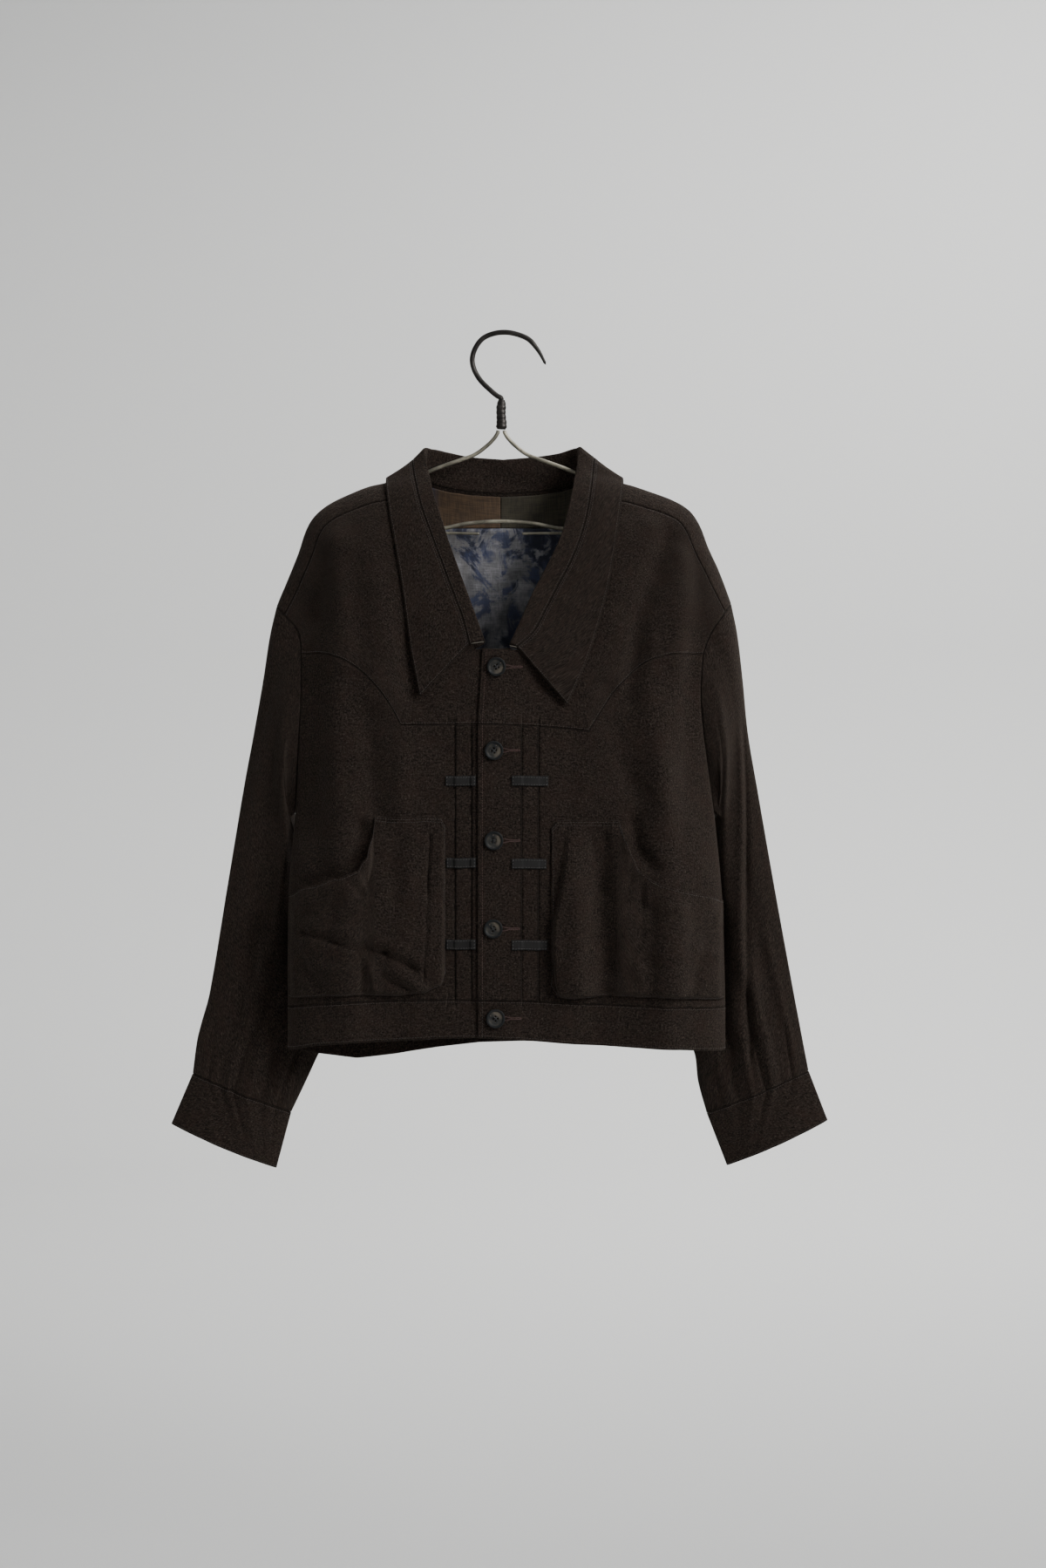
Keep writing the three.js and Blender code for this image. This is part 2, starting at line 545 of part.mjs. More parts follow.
function yokeSeam(side) {
  const curve = seamCurve(YOKE_CURVE[side]);
  const corner = YOKE_CURVE[side][0];
  const start = INNER_COLUMNS[side][0];
  const along = (x) => (x - start) / (corner.x - start);
  const flat = INNER_COLUMNS[side].map((x) => [x, lerp(YOKE_AT_EDGE, corner.z, along(x) ** 2)]);
  return [...flat, ...even(CURVE_COLUMNS).slice(1).map(curve)];
}
function waistEdge(side) {
  const inner = INNER_COLUMNS[side];
  const [from, to] = [inner.at(-1), SIDE_SEAM[side].at(-1).x];
  const outer = even(CURVE_COLUMNS).slice(1).map((t) => lerp(from, to, Math.sin((t * Math.PI) / 2)));
  return [...inner, ...outer].map((x) => [x, x === to ? WAIST_AT_SIDE : waistSeam(x)]);
}

// Neck seam: on the front up to the shoulder seam, over the ridge and along the back.
function neckPoint(side, station) {
  const from = Math.floor(Math.min(station, BACK_STATION - 1));
  const [a, b] = [COLLAR[side][from], COLLAR[side][from + 1]];
  const x = lerp(a.neckX, b.neckX, station - from);
  const z = lerp(a.neckZ, b.neckZ, station - from);
  const y = station < RIDGE_STATION ? FRONT[side](x, z) : station > RIDGE_STATION ? back(x, z) : 0;
  return [x, y, z];
}
const flatOf = (p) => [p[0], p[2]];

// Shoulder seam and the ridge behind it, from the neck to the armhole.
function ridge(side) {
  const curve = seamCurve(OUTLINE[side]);
  return even(CURVE_COLUMNS).map((t) => curve(t));
}
function shoulderSeam(side) {
  const ridgePoints = ridge(side);
  const neck = flatOf(neckPoint(side, SHOULDER_STATION));
  const end = ARMHOLE_YOKE[side][0];
  return ridgePoints.map(([x, z], i) => {
    if (i === 0) return neck;
    if (i === CURVE_COLUMNS) return [end.x, end.z];
    const [a, b] = [ridgePoints[i - 1], ridgePoints[i + 1]];
    const length = Math.hypot(b[0] - a[0], b[1] - a[1]);
    const drop = SHOULDER_SEAM_DROP * lerp(1.15, 0.7, i / CURVE_COLUMNS);
    const towardsBody = side === 'right' ? 1 : -1;
    return [x - (towardsBody * drop * (b[1] - a[1])) / length, z - Math.abs((b[0] - a[0]) / length) * drop];
  });
}
// Strip of the back that comes over the ridge to the shoulder seam.
function shoulderStrip(side) {
  const [from, to] = [ridge(side), shoulderSeam(side)];
  return STRIP_STEPS.map((t) => from.map((point, i) => {
    const [x, z] = mix(point, to[i], t);
    return [x, t === 0 ? 0 : FRONT[side](x, z), z];
  }));
}

const armholeYoke = (side) => ARMHOLE_YOKE_STEPS.map((t) => seamCurve(ARMHOLE_YOKE[side])(t));
const armholeFront = (side) => ARMHOLE_FRONT_STEPS.map((t) => seamCurve(ARMHOLE_FRONT[side])(t));
const armholeBack = (side) => ARMHOLE_BACK_STEPS.map((t) => seamCurve(ARMHOLE_BACK[side])(t));
const sideSeam = (side) => SIDE_STEPS.map((t) => seamCurve(SIDE_SEAM[side])(t));
const onSide = (z) => z <= UNDERARM + 0.01;
const frontEdge3 = (side) => ([x, z]) => [x, onSide(z) ? 0 : FRONT[side](x, z), z];
const backEdge3 = ([x, z]) => [x, onSide(z) ? 0 : back(x, z), z];

// ---------------------------------------------------------------- cut pieces

function setColumn(rows, column, points) {
  rows.forEach((row, i) => { row[column] = points[i]; });
  return rows;
}

function lowerFront(side) {
  const bottom = waistEdge(side);
  const top = yokeSeam(side);
  const outer = [...[...sideSeam(side)].reverse(), ...[...armholeFront(side)].reverse().slice(1)];
  const heights = even(outer.length - 1);
  const inner = heights.map((t) => mix(bottom[0], top[0], t));
  const rows = panelGrid(bottom, top, inner, outer, FRONT[side]);
  return [patch(setColumn(rows, bottom.length - 1, outer.map(frontEdge3(side))), [0, -1, 0])];
}

function frontYoke(side) {
  const bottom = yokeSeam(side);
  const end = flatOf(neckPoint(side, 0));
  const topX = side === 'left' ? LAP_EDGE_TOP : UNDER_EDGE;
  const flat = even(TOP_FLAT).map((t) => [lerp(topX, end[0], t), lerp(FRONT_TOP, end[1], t)]);
  const neck = [1, 2, 3, 4, SHOULDER_STATION].map((station) => flatOf(neckPoint(side, station)));
  const top = [...flat, ...neck, ...shoulderSeam(side).slice(1)];
  const outer = [...armholeYoke(side)].reverse();
  const inner = outer.map((_, i) => mix(bottom[0], top[0], i / (outer.length - 1)));
  return [patch(panelGrid(bottom, top, inner, outer, FRONT[side]), [0, -1, 0])];
}

function backPanel() {
  const outer = (side) => [...[...sideSeam(side)].reverse(), ...[...armholeBack(side)].reverse().slice(1)];
  const neck = (side) => BACK_NECK_STATIONS.map((station) => flatOf(neckPoint(side, station)));
  const middle = flatOf(neckPoint('right', BACK_STATION));
  const top = [...ridge('right').reverse(), ...neck('right'), middle,
    ...neck('left').reverse(), ...ridge('left')];
  const half = CURVE_COLUMNS + BACK_NECK_STATIONS.length + 1;
  const [from, to] = [SIDE_SEAM.right.at(-1).x, SIDE_SEAM.left.at(-1).x];
  const bottom = even(2 * half).map((t, i) => {
    const x = lerp((from + to) / 2, i <= half ? from : to, Math.sin(Math.abs(t - 0.5) * Math.PI));
    return [x, i === 0 || i === 2 * half ? WAIST_AT_SIDE : backWaist(x)];
  });
  const [first, last] = [outer('right'), outer('left')];
  const rows = panelGrid(bottom, top, first, last, back);
  setColumn(rows, 0, first.map(backEdge3));
  setColumn(rows, 2 * half, last.map(backEdge3));
  rows[rows.length - 1] = top.map(([x, z], i) => {
    const onRidge = i <= CURVE_COLUMNS || i >= 2 * half - CURVE_COLUMNS;
    return [x, onRidge ? 0 : back(x, z), z];
  });
  return { rows, bottom: rows[0] };
}

// ---------------------------------------------------------------- sleeves and cuffs

// The armhole as a closed ring: shoulder tip, shoulder strip, front, underarm, back, tip.
function armholeRing(side) {
  const strip = shoulderStrip(side).map((row) => row.at(-1));
  const frontPart = [...armholeYoke(side), ...armholeFront(side).slice(1)].map(frontEdge3(side));
  const backPart = [...armholeBack(side)].reverse().map(backEdge3);
  backPart[backPart.length - 1] = strip[0];
  const under = strip.length + frontPart.length - 2;
  return { ring: [...strip, ...frontPart.slice(1), ...backPart.slice(1)], under };
}

// A flattened ring between an outer and an inner fold. across runs 0 to 1 over the front and
// back again over the back.
function flatRing(row, across, behind, down) {
  const x = lerp(row.ox, row.ix, across);
  const y = lerp(row.oy, row.iy, across);
  const z = lerp(row.oz, row.iz, across);
  const bow = Math.sin(Math.PI * across) ** 0.8;
  const fold = folds(SLEEVE_FOLDS, across, down, ['across0', 'down0', 'across1', 'down1']);
  return [x, y + (behind ? bow * row.half : -bow * (row.half + fold)), z];
}

const SLEEVE_ROWS = [0, 0.03, 0.07, 0.12, 0.18, 0.25, 0.33, 0.41, 0.5, 0.6, 0.7, 0.79, 0.86, 0.91, 0.955, 1];

function sleeveRows(side) {
  const { ring, under } = armholeRing(side);
  const [frontAt, backAt] = [fractions(ring.slice(0, under + 1)), fractions(ring.slice(under))];
  const sectionAt = curveThrough(columnsOf(SLEEVE[side], SLEEVE_COLUMNS));
  const first = SLEEVE[side][0];
  const [tip, low] = [[first.ox, 0, first.oz], [first.ix, 0, first.iz]];
  return SLEEVE_ROWS.map((t) => {
    const values = sectionAt(t);
    const row = Object.fromEntries(SLEEVE_COLUMNS.map((name, i) => [name, values[i]]));
    const hold = t === 0 ? 1 : clamp(1 - t / 0.38, 0, 1) ** 2;
    return ring.map((point, j) => {
      const behind = j > under;
      const run = behind ? 1 - backAt[j - under] : frontAt[j];
      const across = lerp((1 - Math.cos(Math.PI * run)) / 2, run, hold);
      const flat = flatRing(row, across, behind, t);
      const chord = mix(tip, low, run);
      return [
        flat[0] + hold * (point[0] - chord[0]),
        lerp(flat[1], point[1], hold),
        flat[2] + hold * (point[2] - chord[2])];
    });
  });
}

function cuffRows(side, sleeveEnd) {
  const { under } = armholeRing(side);
  const count = sleeveEnd.length - 1;
  const start = under + CUFF_START;
  const frontAt = (j) => (1 - Math.cos((Math.PI * j) / under)) / 2;
  const backAt = (j) => (1 + Math.cos((Math.PI * (j - under)) / (count - under))) / 2;
  const lower = sleeveEnd.map((_, j) => {
    const behind = j > under;
    return flatRing(CUFF_END[side], behind ? backAt(j) : frontAt(j), behind, 2);
  });
  return even(3).map((t) => even(count + CUFF_LAPPED).map((_, k) => {
    const j = (start + k) % count;
    const point = mix(sleeveEnd[j], lower[j], t);
    const out = CUFF_LAP * ease(count - CUFF_LAPPED, count, k);
    return [point[0], point[1] + out, point[2]];
  }));
}

// ---------------------------------------------------------------- waistband

function waistbandRows(backBottom) {
  const edge = (side) => waistEdge(side).map(([x, z]) => ({ x, z, side }));
  const backEdge = backBottom.slice(1, -1).map(([x, , z]) => ({ x, z, side: 'back' }));
  const path = [...edge('right'), ...backEdge, ...[...edge('left')].reverse()];
  return [0, 0.3, 0.65, 1].map((t) => path.map(({ x, z, side }, i) => {
    const low = side === 'back' ? backHem(x) : frontHem(x);
    const height = lerp(z, low, t);
    const atSide = Math.abs(z - WAIST_AT_SIDE) < 0.001 && i > 1 && i < path.length - 2;
    const y = atSide ? 0 : side === 'back' ? back(x, height) : FRONT[side](x, height);
    return [x, y, height];
  }));
}

// ---------------------------------------------------------------- collar

const STATIONS = [0, 1, 2, 3, 4, SHOULDER_STATION, RIDGE_STATION - STRIP_STEPS[2],
  RIDGE_STATION - STRIP_STEPS[1], RIDGE_STATION, ...BACK_NECK_STATIONS, BACK_STATION];

function collarStation(side, station) {
  const rows = COLLAR[side].map((row, i) => ({ station: i, ...row }));
  const row = rowAt(rows, 'station', station);
  const neck = neckPoint(side, station);
  const clear = (x, y, z, gap = LEAF_CLEAR) => {
    if (station < RIDGE_STATION) return [x, Math.min(y, clearFront(side, x, z, gap)), z];
    if (station > RIDGE_STATION) return [x, Math.max(y, clearBack(x, z, gap)), z];
    return [x, y, z];
  };
  const overFront = station < SHOULDER_STATION + 0.6;
  const roll = overFront
    ? clear(row.rollX, row.rollY, row.rollZ, ROLL_CLEAR) : [row.rollX, row.rollY, row.rollZ];
  const seam = clear(row.seamX, row.seamY, row.seamZ);
  const edge = clear(row.edgeX, row.edgeY, row.edgeZ);
  return { neck, roll, seam, edge, clear };
}

// The band: from the neck seam up to the roll, round it and down to the strip's seam.
function bandSection({ neck, roll, seam, clear }) {
  const v = (p) => new THREE.Vector3(...p);
  const [n, r, s] = [neck, roll, seam].map(v);
  const down = n.clone().add(s).multiplyScalar(0.5).sub(r).normalize();
  const out = s.clone().sub(n);
  out.addScaledVector(down, -out.dot(down));
  if (out.length() < 0.5) out.set(0, -1, 0).addScaledVector(down, down.y);
  out.normalize();
  const centre = r.clone().addScaledVector(down, ROLL_RADIUS);
  const arc = even(4).map((t) => centre.clone()
    .addScaledVector(out, -ROLL_RADIUS * Math.cos(Math.PI * t))
    .addScaledVector(down, -ROLL_RADIUS * Math.sin(Math.PI * t)));
  const fall = clear(...arc[4].clone().lerp(s, 0.5).toArray());
  return [n, n.clone().lerp(arc[0], 0.5), ...arc].map((p) => p.toArray()).concat([fall, seam]);
}
function leafSection({ seam, edge, clear }) {
  return even(4).map((t) => (t === 0 ? seam : t === 1 ? edge : clear(...mix(seam, edge, t))));
}

function collarRows(section) {
  const right = STATIONS.map((station) => section(collarStation('right', station)));
  const left = STATIONS.slice(0, -1).map((station) => section(collarStation('left', station)));
  return [...right, ...left.reverse()];
}

// ---------------------------------------------------------------- pieces that lie on a panel

// Height of a pocket over the front: closed at its seams, open along the hand opening.
function pocketRows(side) {
  const columns = POCKET[side];
  const steps = [0, 0.04, 0.12, 0.25, 0.45, 0.65, 0.82, 0.94, 1];
  return steps.map((t) => columns.map((column, c) => {
    const z = lerp(column.top, column.bottom, t);
    const rim = Math.min(c / 2, (columns.length - 1 - c) / 2, (1 - t) / 0.2, 1);
    const height = CLOTH + POCKET_EASE + POCKET_PUFF[side] * ease(0, 1, rim);
    return lifted(FRONT[side], column.x, z, height);
  }));
}

function tabRows(side, { inner, outer, z }) {
  const outwards = Math.sign(outer - inner);
  const beside = outwards * (TUCK_RAMP + 0.2);
  const inside = TUCKS[side].flatMap((line) => [line - beside, line + beside]);
  const xs = [inner, ...inside.filter((x) => (x - inner) * outwards > 1), outer];
  const height = (CLOTH + RIBBON) / 2 + SEAM_GAP + 0.25;
  return [0.5, -0.5].map((t) => xs.map((x) => lifted(FRONT[side], x, z + t * TAB_HEIGHT, height)));
}

// The lining hangs free of the back by a little more than a seam's gap.
const INSIDE_BACK = (LINING + CLOTH) / 2 + SEAM_GAP + 0.9;
function liningRows(xs, topOf, bottomOf, steps) {
  return even(steps).map((t) => xs.map((x) => {
    const z = lerp(topOf(x), bottomOf(x), t);
    return lifted(back, x, z, -INSIDE_BACK, 1);
  }));
}

// ---------------------------------------------------------------- hard pieces

// A rod along points in the plane y = 0, round, with flat ends, its radius given by fraction.
function rod(curve, steps, radiusAt, sides) {
  const centres = even(steps).map(curve);
  const position = [];
  const index = [];
  centres.forEach((centre, i) => {
    const [a, b] = [centres[Math.max(i - 1, 0)], centres[Math.min(i + 1, steps)]];
    const length = Math.hypot(b[0] - a[0], b[1] - a[1]);
    const side = [-(b[1] - a[1]) / length, (b[0] - a[0]) / length];
    const radius = radiusAt(i / steps);
    for (let k = 0; k < sides; k++) {
      const angle = (2 * Math.PI * k) / sides;
      position.push(centre[0] + side[0] * radius * Math.cos(angle), radius * Math.sin(angle),
        centre[1] + side[1] * radius * Math.cos(angle));
    }
  });
  const ring = (i, k) => i * sides + (k % sides);
  for (let i = 0; i < steps; i++) {
    for (let k = 0; k < sides; k++) {
      const [a, b, c, d] = [ring(i, k), ring(i + 1, k), ring(i + 1, k + 1), ring(i, k + 1)];
      index.push(a, b, c, a, c, d);
    }
  }
  for (let k = 1; k < sides - 1; k++) {
    index.push(ring(0, 0), ring(0, k), ring(0, k + 1), ring(steps, 0), ring(steps, k + 1), ring(steps, k));
  }
  const geometry = new THREE.BufferGeometry();
  geometry.setAttribute('position', new THREE.Float32BufferAttribute(position, 3));
  geometry.setIndex(index);
  return outwardFacing(geometry);
}

// Turns a closed geometry inside out if its faces point in.
function outwardFacing(geometry) {
  const p = geometry.attributes.position;
  const at = (i) => new THREE.Vector3().fromBufferAttribute(p, i);
  const index = geometry.index.array;
  let volume = 0;
  for (let i = 0; i < index.length; i += 3) {
    volume += at(index[i]).dot(at(index[i + 1]).cross(at(index[i + 2])));
  }
  if (volume < 0) {
    for (let i = 0; i < index.length; i += 3) [index[i + 1], index[i + 2]] = [index[i + 2], index[i + 1]];
  }
  return geometry;
}

function toManifold(geometry) {
  const plain = geometry.clone();
  plain.deleteAttribute('normal');
  plain.deleteAttribute('uv');
  const merged = mergeVertices(plain, 1e-3);
  return new wasm.Manifold(new wasm.Mesh({
    numProp: 3,
    vertProperties: new Float32Array(merged.attributes.position.array),
    triVerts: new Uint32Array(merged.index.array),
  }));
}
function fromManifold(solid) {
  const mesh = solid.getMesh();
  const geometry = new THREE.BufferGeometry();
  geometry.setAttribute('position', new THREE.BufferAttribute(new Float32Array(mesh.vertProperties), 3));
  geometry.setIndex(new THREE.BufferAttribute(new Uint32Array(mesh.triVerts), 1));
  return geometry;
}

// A four-hole button with a raised rim, its back at z = 0 and its face towards +Z.
function buttonGeometry() {
  const { radius, rim, thick, dish, hole, spread } = BUTTON;
  const profile = [
    [0, 0], [radius - 1.6, 0], [radius, 1], [radius, thick - 0.7], [radius - 0.7, thick],
    [radius - rim, thick], [radius - rim - 1, thick - dish], [0, thick - dish]];
  const disc = new THREE.LatheGeometry(profile.map(([r, h]) => new THREE.Vector2(r, h)), 18);
  disc.rotateX(Math.PI / 2);
  let solid = toManifold(outwardFacing(disc));
  for (const [dx, dz] of [[1, 1], [1, -1], [-1, -1], [-1, 1]]) {
    const drill = new THREE.CylinderGeometry(hole, hole, 4 * thick, 6);
    drill.rotateX(Math.PI / 2);
    drill.translate(dx * spread, dz * spread, 0);
    solid = solid.subtract(toManifold(drill));
  }
  return fromManifold(solid);
}

function placedButton(name, geometry, point, normal) {
  const mesh = new THREE.Mesh(geometry, finish.button);
  mesh.name = name;
  mesh.position.set(...point);
  mesh.quaternion.setFromUnitVectors(new THREE.Vector3(0, 0, 1), new THREE.Vector3(...normal));
  return mesh;
}

// ---------------------------------------------------------------- hanger

const HOOK_LINE = [
  [-10.2, -69], [-10.5, -67.2], [-14.9, -64.6], [-21.9, -58.8], [-32.5, -48.3], [-39.1, -36.9],
  [-41.2, -25.5], [-37.6, -13.4], [-29.8, -3.6], [-18.1, 1.6], [-5, 2.9], [8.4, 0.3], [19.5, -4.9],
  [27.4, -13.9], [32.2, -21.4], [37.3, -31.6]];
const HOOK_RADIUS = 2.8;
const HOOK_TIP_RADIUS = 1.5;
const WIRE = 2.1;                  // radius of the arms and the bar
const ARM_LINE = table(['out', 'z'], [
  [3.4, -102.2], [3.8, -104.4], [7.2, -110], [15, -118], [28, -127.5], [45, -134], [60, -139.2],
  [81, -147.3], [98, -154.3], [125, -165.2], [150, -175], [170, -183.5], [183, -190.5],
  [189.5, -196.5], [191.5, -203], [188, -209], [178, -211.6], [160, -211.6], [125, -210.2],
  [90, -208.2], [62, -206.3], [35, -201.2], [0, -199]]);

function hangerFrame() {
  const right = ARM_LINE.map(({ out, z }) => [HANGER_X - out, z]);
  const left = ARM_LINE.slice(0, -1).map(({ out, z }) => [HANGER_X + out * LEFT_ARM_SHARE, z]);
  return rod(curveThrough([...right, ...left.reverse()]), 76, () => WIRE, 7);
}

function hangerJoint() {
  const profile = [[0, 0], [5.6, 0], [6.2, 1.5], [6.2, 6], [5.1, 8], [5.1, 10], [6, 12], [6, 17], [5, 19],
    [5, 21], [5.8, 23], [5.8, 27], [4.2, 30], [0, 30]];
  const geometry = new THREE.LatheGeometry(profile.map(([r, h]) => new THREE.Vector2(r, h)), 14);
  geometry.rotateX(Math.PI / 2);
  geometry.scale(1, 0.8, 1);
  geometry.translate(HANGER_X, 0, -100.9);
  geometry.deleteAttribute('normal');
  geometry.deleteAttribute('uv');
  return outwardFacing(mergeVertices(geometry, 1e-3));
}

// ---------------------------------------------------------------- assembly

function material(color, roughness, metalness = 0) {
  return new THREE.MeshStandardMaterial({ color, roughness, metalness });
}
const finish = {
  wool: material(0x4a3b31, 0.95),
  woolSleeve: material(0x4d3d33, 0.95),
  ribbon: material(0x8b8e93, 0.8),
  lining: material(0x8d8474, 0.85),
  brown: material(0x6b4526, 0.8),
  olive: material(0x5d5836, 0.8),
  button: material(0x5b6268, 0.35),
  hook: material(0x2d2b29, 0.35, 0.9),
  wire: material(0x6f6a58, 0.4, 0.8),
};

const jacket = new THREE.Group();
const addMesh = (name, geometry, look) => {
  const mesh = new THREE.Mesh(geometry, look);
  mesh.name = name;
  jacket.add(mesh);
};

const backRows = backPanel();
const sleeves = { right: sleeveRows('right'), left: sleeveRows('left') };
const shell = {
  front_right: lowerFront('right'),
  front_left: lowerFront('left'),
  yoke_right: frontYoke('right'),
  yoke_left: frontYoke('left'),
  back: [patch(backRows.rows, [0, 1, 0]), patch(shoulderStrip('right'), [0, -0.4, 1]),
    patch(shoulderStrip('left'), [0, -0.4, 1])],
  waistband: [patch(waistbandRows(backRows.bottom), [0, 1, 0])],
  collar_band: [patch(collarRows(bandSection), [0, 0, 1])],
  collar_leaf: [patch(collarRows(leafSection), [0, 1, 0])],
};
for (const side of ['right', 'left']) {
  const { under } = armholeRing(side);
  const middle = Math.floor((sleeves[side][0].length - 1) / 2);
  shell[`sleeve_${side}`] = [patch(sleeves[side], [0, middle < under ? -1 : 1, 0])];
  shell[`cuff_${side}`] = [patch(cuffRows(side, sleeves[side].at(-1)), [0, -1, 0])];
}

const shellMeshes = Object.fromEntries(
  Object.entries(shell).map(([name, patches]) => [name, pieceMesh(patches)]));
const shellNormal = sharedNormals(Object.values(shellMeshes));
for (const [name, mesh] of Object.entries(shellMeshes)) {
  const look = /sleeve|cuff/.test(name) ? finish.woolSleeve : finish.wool;
  addMesh(name, wall(mesh, CLOTH, shellNormal), look);
}

function laidPiece(name, rows, facing, thickness, look) {
  const mesh = pieceMesh([patch(rows, facing)]);
  addMesh(name, wall(mesh, thickness, sharedNormals([mesh])), look);
}

for (const side of ['right', 'left']) {
  laidPiece(`pocket_${side}`, pocketRows(side), [0, -1, 0], CLOTH, finish.wool);
  TABS[side].forEach((tab, i) => {
    laidPiece(`tab_${side}_${i + 1}`, tabRows(side, tab), [0, -1, 0], RIBBON, finish.ribbon);
  });
}

// The neck facing is pieced from two cloths and the lining hangs below it, inside the back.
const FACING_BELOW_NECK = 2.5;
const FACING_TOP = -157;
const FACING_BOTTOM = -203;
const LINING_BOTTOM = -430;
const facingTop = (x) => {
  const behind = [...COLLAR.right.slice(RIDGE_STATION), ...COLLAR.left.slice(RIDGE_STATION, -1).reverse()];
  return Math.min(rowAt(behind, 'neckX', x).neckZ, FACING_TOP) - FACING_BELOW_NECK;
};
const facingBottom = () => FACING_BOTTOM;
const liningTop = () => FACING_BOTTOM - 0.4;
const liningBottom = () => LINING_BOTTOM;
const span = (from, to, count) => even(count).map((t) => lerp(from, to, t));
function insidePiece(name, xs, top, bottom, steps, look) {
  laidPiece(name, liningRows(xs, top, bottom, steps), [0, -1, 0], LINING, look);
}
insidePiece('facing_brown', span(-90, -11.4, 6), facingTop, facingBottom, 3, finish.brown);
insidePiece('facing_olive', span(-11, 74, 6), facingTop, facingBottom, 3, finish.olive);
insidePiece('back_lining', span(-150, 135, 14), liningTop, liningBottom, 9, finish.lining);

const button = buttonGeometry();
BUTTONS.forEach(({ x, z }, i) => {
  const normal = heightNormal(leftFront, x, z, -1);
  const seat = lifted(leftFront, x, z, CLOTH / 2 + BUTTON.clear);
  jacket.add(placedButton(`button_${i + 1}`, button, seat, normal));
});

const hookRadius = (t) => lerp(HOOK_RADIUS, HOOK_TIP_RADIUS, ease(0.86, 1, t));
addMesh('hanger_hook', rod(curveThrough(HOOK_LINE), 32, hookRadius, 8), finish.hook);
addMesh('hanger_joint', hangerJoint(), finish.hook);
addMesh('hanger_frame', hangerFrame(), finish.wire);

export default jacket;
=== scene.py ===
"""A cropped work jacket on a wire hanger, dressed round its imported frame.

Lengths in the tables are millimetres, +Z up, the front faces -Y and +X is the wearer's left.
Each cut piece is a sheet of points on the body, sleeve or collar surface. Neighbouring sheets
share the points of their seam. A sheet then gets the cloth's thickness and its rounded edges.
"""

import math
from functools import lru_cache, partial

import bpy
import numpy as np
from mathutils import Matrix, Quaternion, Vector
from mathutils.kdtree import KDTree


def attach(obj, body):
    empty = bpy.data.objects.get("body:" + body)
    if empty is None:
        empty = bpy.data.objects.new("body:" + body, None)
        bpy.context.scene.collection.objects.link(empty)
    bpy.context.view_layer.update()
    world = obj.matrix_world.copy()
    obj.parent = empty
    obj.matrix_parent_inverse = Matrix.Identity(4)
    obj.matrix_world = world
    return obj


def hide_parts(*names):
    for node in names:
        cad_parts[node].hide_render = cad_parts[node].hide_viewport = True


bl_info = {
    "name": "Work Jacket",
    "version": (1, 0, 0),
    "blender": (4, 5, 0),
    "location": "View3D > Sidebar > Jacket",
    "description": "Sews a cropped work jacket on its wire hanger from its cut pieces",
    "category": "Add Mesh",
}

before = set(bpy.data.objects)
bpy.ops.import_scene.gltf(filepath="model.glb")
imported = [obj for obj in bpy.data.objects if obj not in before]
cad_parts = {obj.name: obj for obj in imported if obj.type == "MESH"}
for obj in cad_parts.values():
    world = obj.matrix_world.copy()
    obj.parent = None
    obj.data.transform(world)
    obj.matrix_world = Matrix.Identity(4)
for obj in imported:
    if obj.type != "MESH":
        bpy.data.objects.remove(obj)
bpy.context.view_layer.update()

SIDES = ("right", "left")
MM = 0.001

# ---------------------------------------------------------------- driving dimensions

CENTRE_X = -8                 # middle of the body
FRONT_TURN = 110              # how far below the shoulder the front reaches its full depth
BACK_TURN = 60
FRONT_SIDE_TURN = 70          # how far in from the side seam it reaches its full depth
BACK_SIDE_TURN = 70
ARMHOLE_TOP = -342
UNDERARM = -508
SHOULDER_SEAM_DROP = 20
BACK_SIDE_DEPTH = 10          # the back is this deep where the sleeves hang behind it
BACK_FLAT_Z = (-440, -545)
BACK_FLAT_X = (85, 165)
WAIST_AT_SIDE = -716
YOKE_AT_EDGE = -417
FRONT_TOP = -337

LAP = 2.8                     # the buttoned edge stands this far outside the front below it
LAP_FROM, LAP_TO = 5, 45
LAP_EDGE, LAP_EDGE_TOP = -34.4, -30
UNDER_EDGE = 0
TUCK_STEP = 1.8
TUCK_RAMP = 0.75
TUCKS = {"right": (-40, -57.2), "left": (11, 28.5)}
TUCK_START = (-398, -416)
TUCK_END = (-704, -718)

ROLL_RADIUS = 2.1             # of the collar's fold
ROLL_CLEAR = 2.0
LEAF_CLEAR = 2.7
BAND_HEIGHT, BAND_HEIGHT_SIDE = 44, 45.6
CUFF_LAP = 2.9
SEAM_GAP = 0.3                # under the pieces that are laid on others
CAD_CLOTH = 1.8               # the frame's wall, which fixes how far the laid pieces stand off
LINING = 1.0
HANGER_X = -10.2
LEFT_ARM_SHARE = 0.985
WIRE = 2.1

# How many parts each step of the frame's own grid is cut into.
FINE_SIDE, FINE_YOKE, FINE_ACROSS, FINE_STRIP = 9, 15, 7, 4
COLUMN_WIDTH = 2.5            # widest gap between the columns near the front edge
FIRST_COLUMN = 0.9            # the close first column that gives a front edge its shape
TUCK_REACH = 1.2              # the close columns on both sides of a tuck

# ---------------------------------------------------------------- tables


def table(names, *rows):
    """Columns by name of a table written as rows."""
    return dict(zip(names.split(), np.array(rows, float).T))


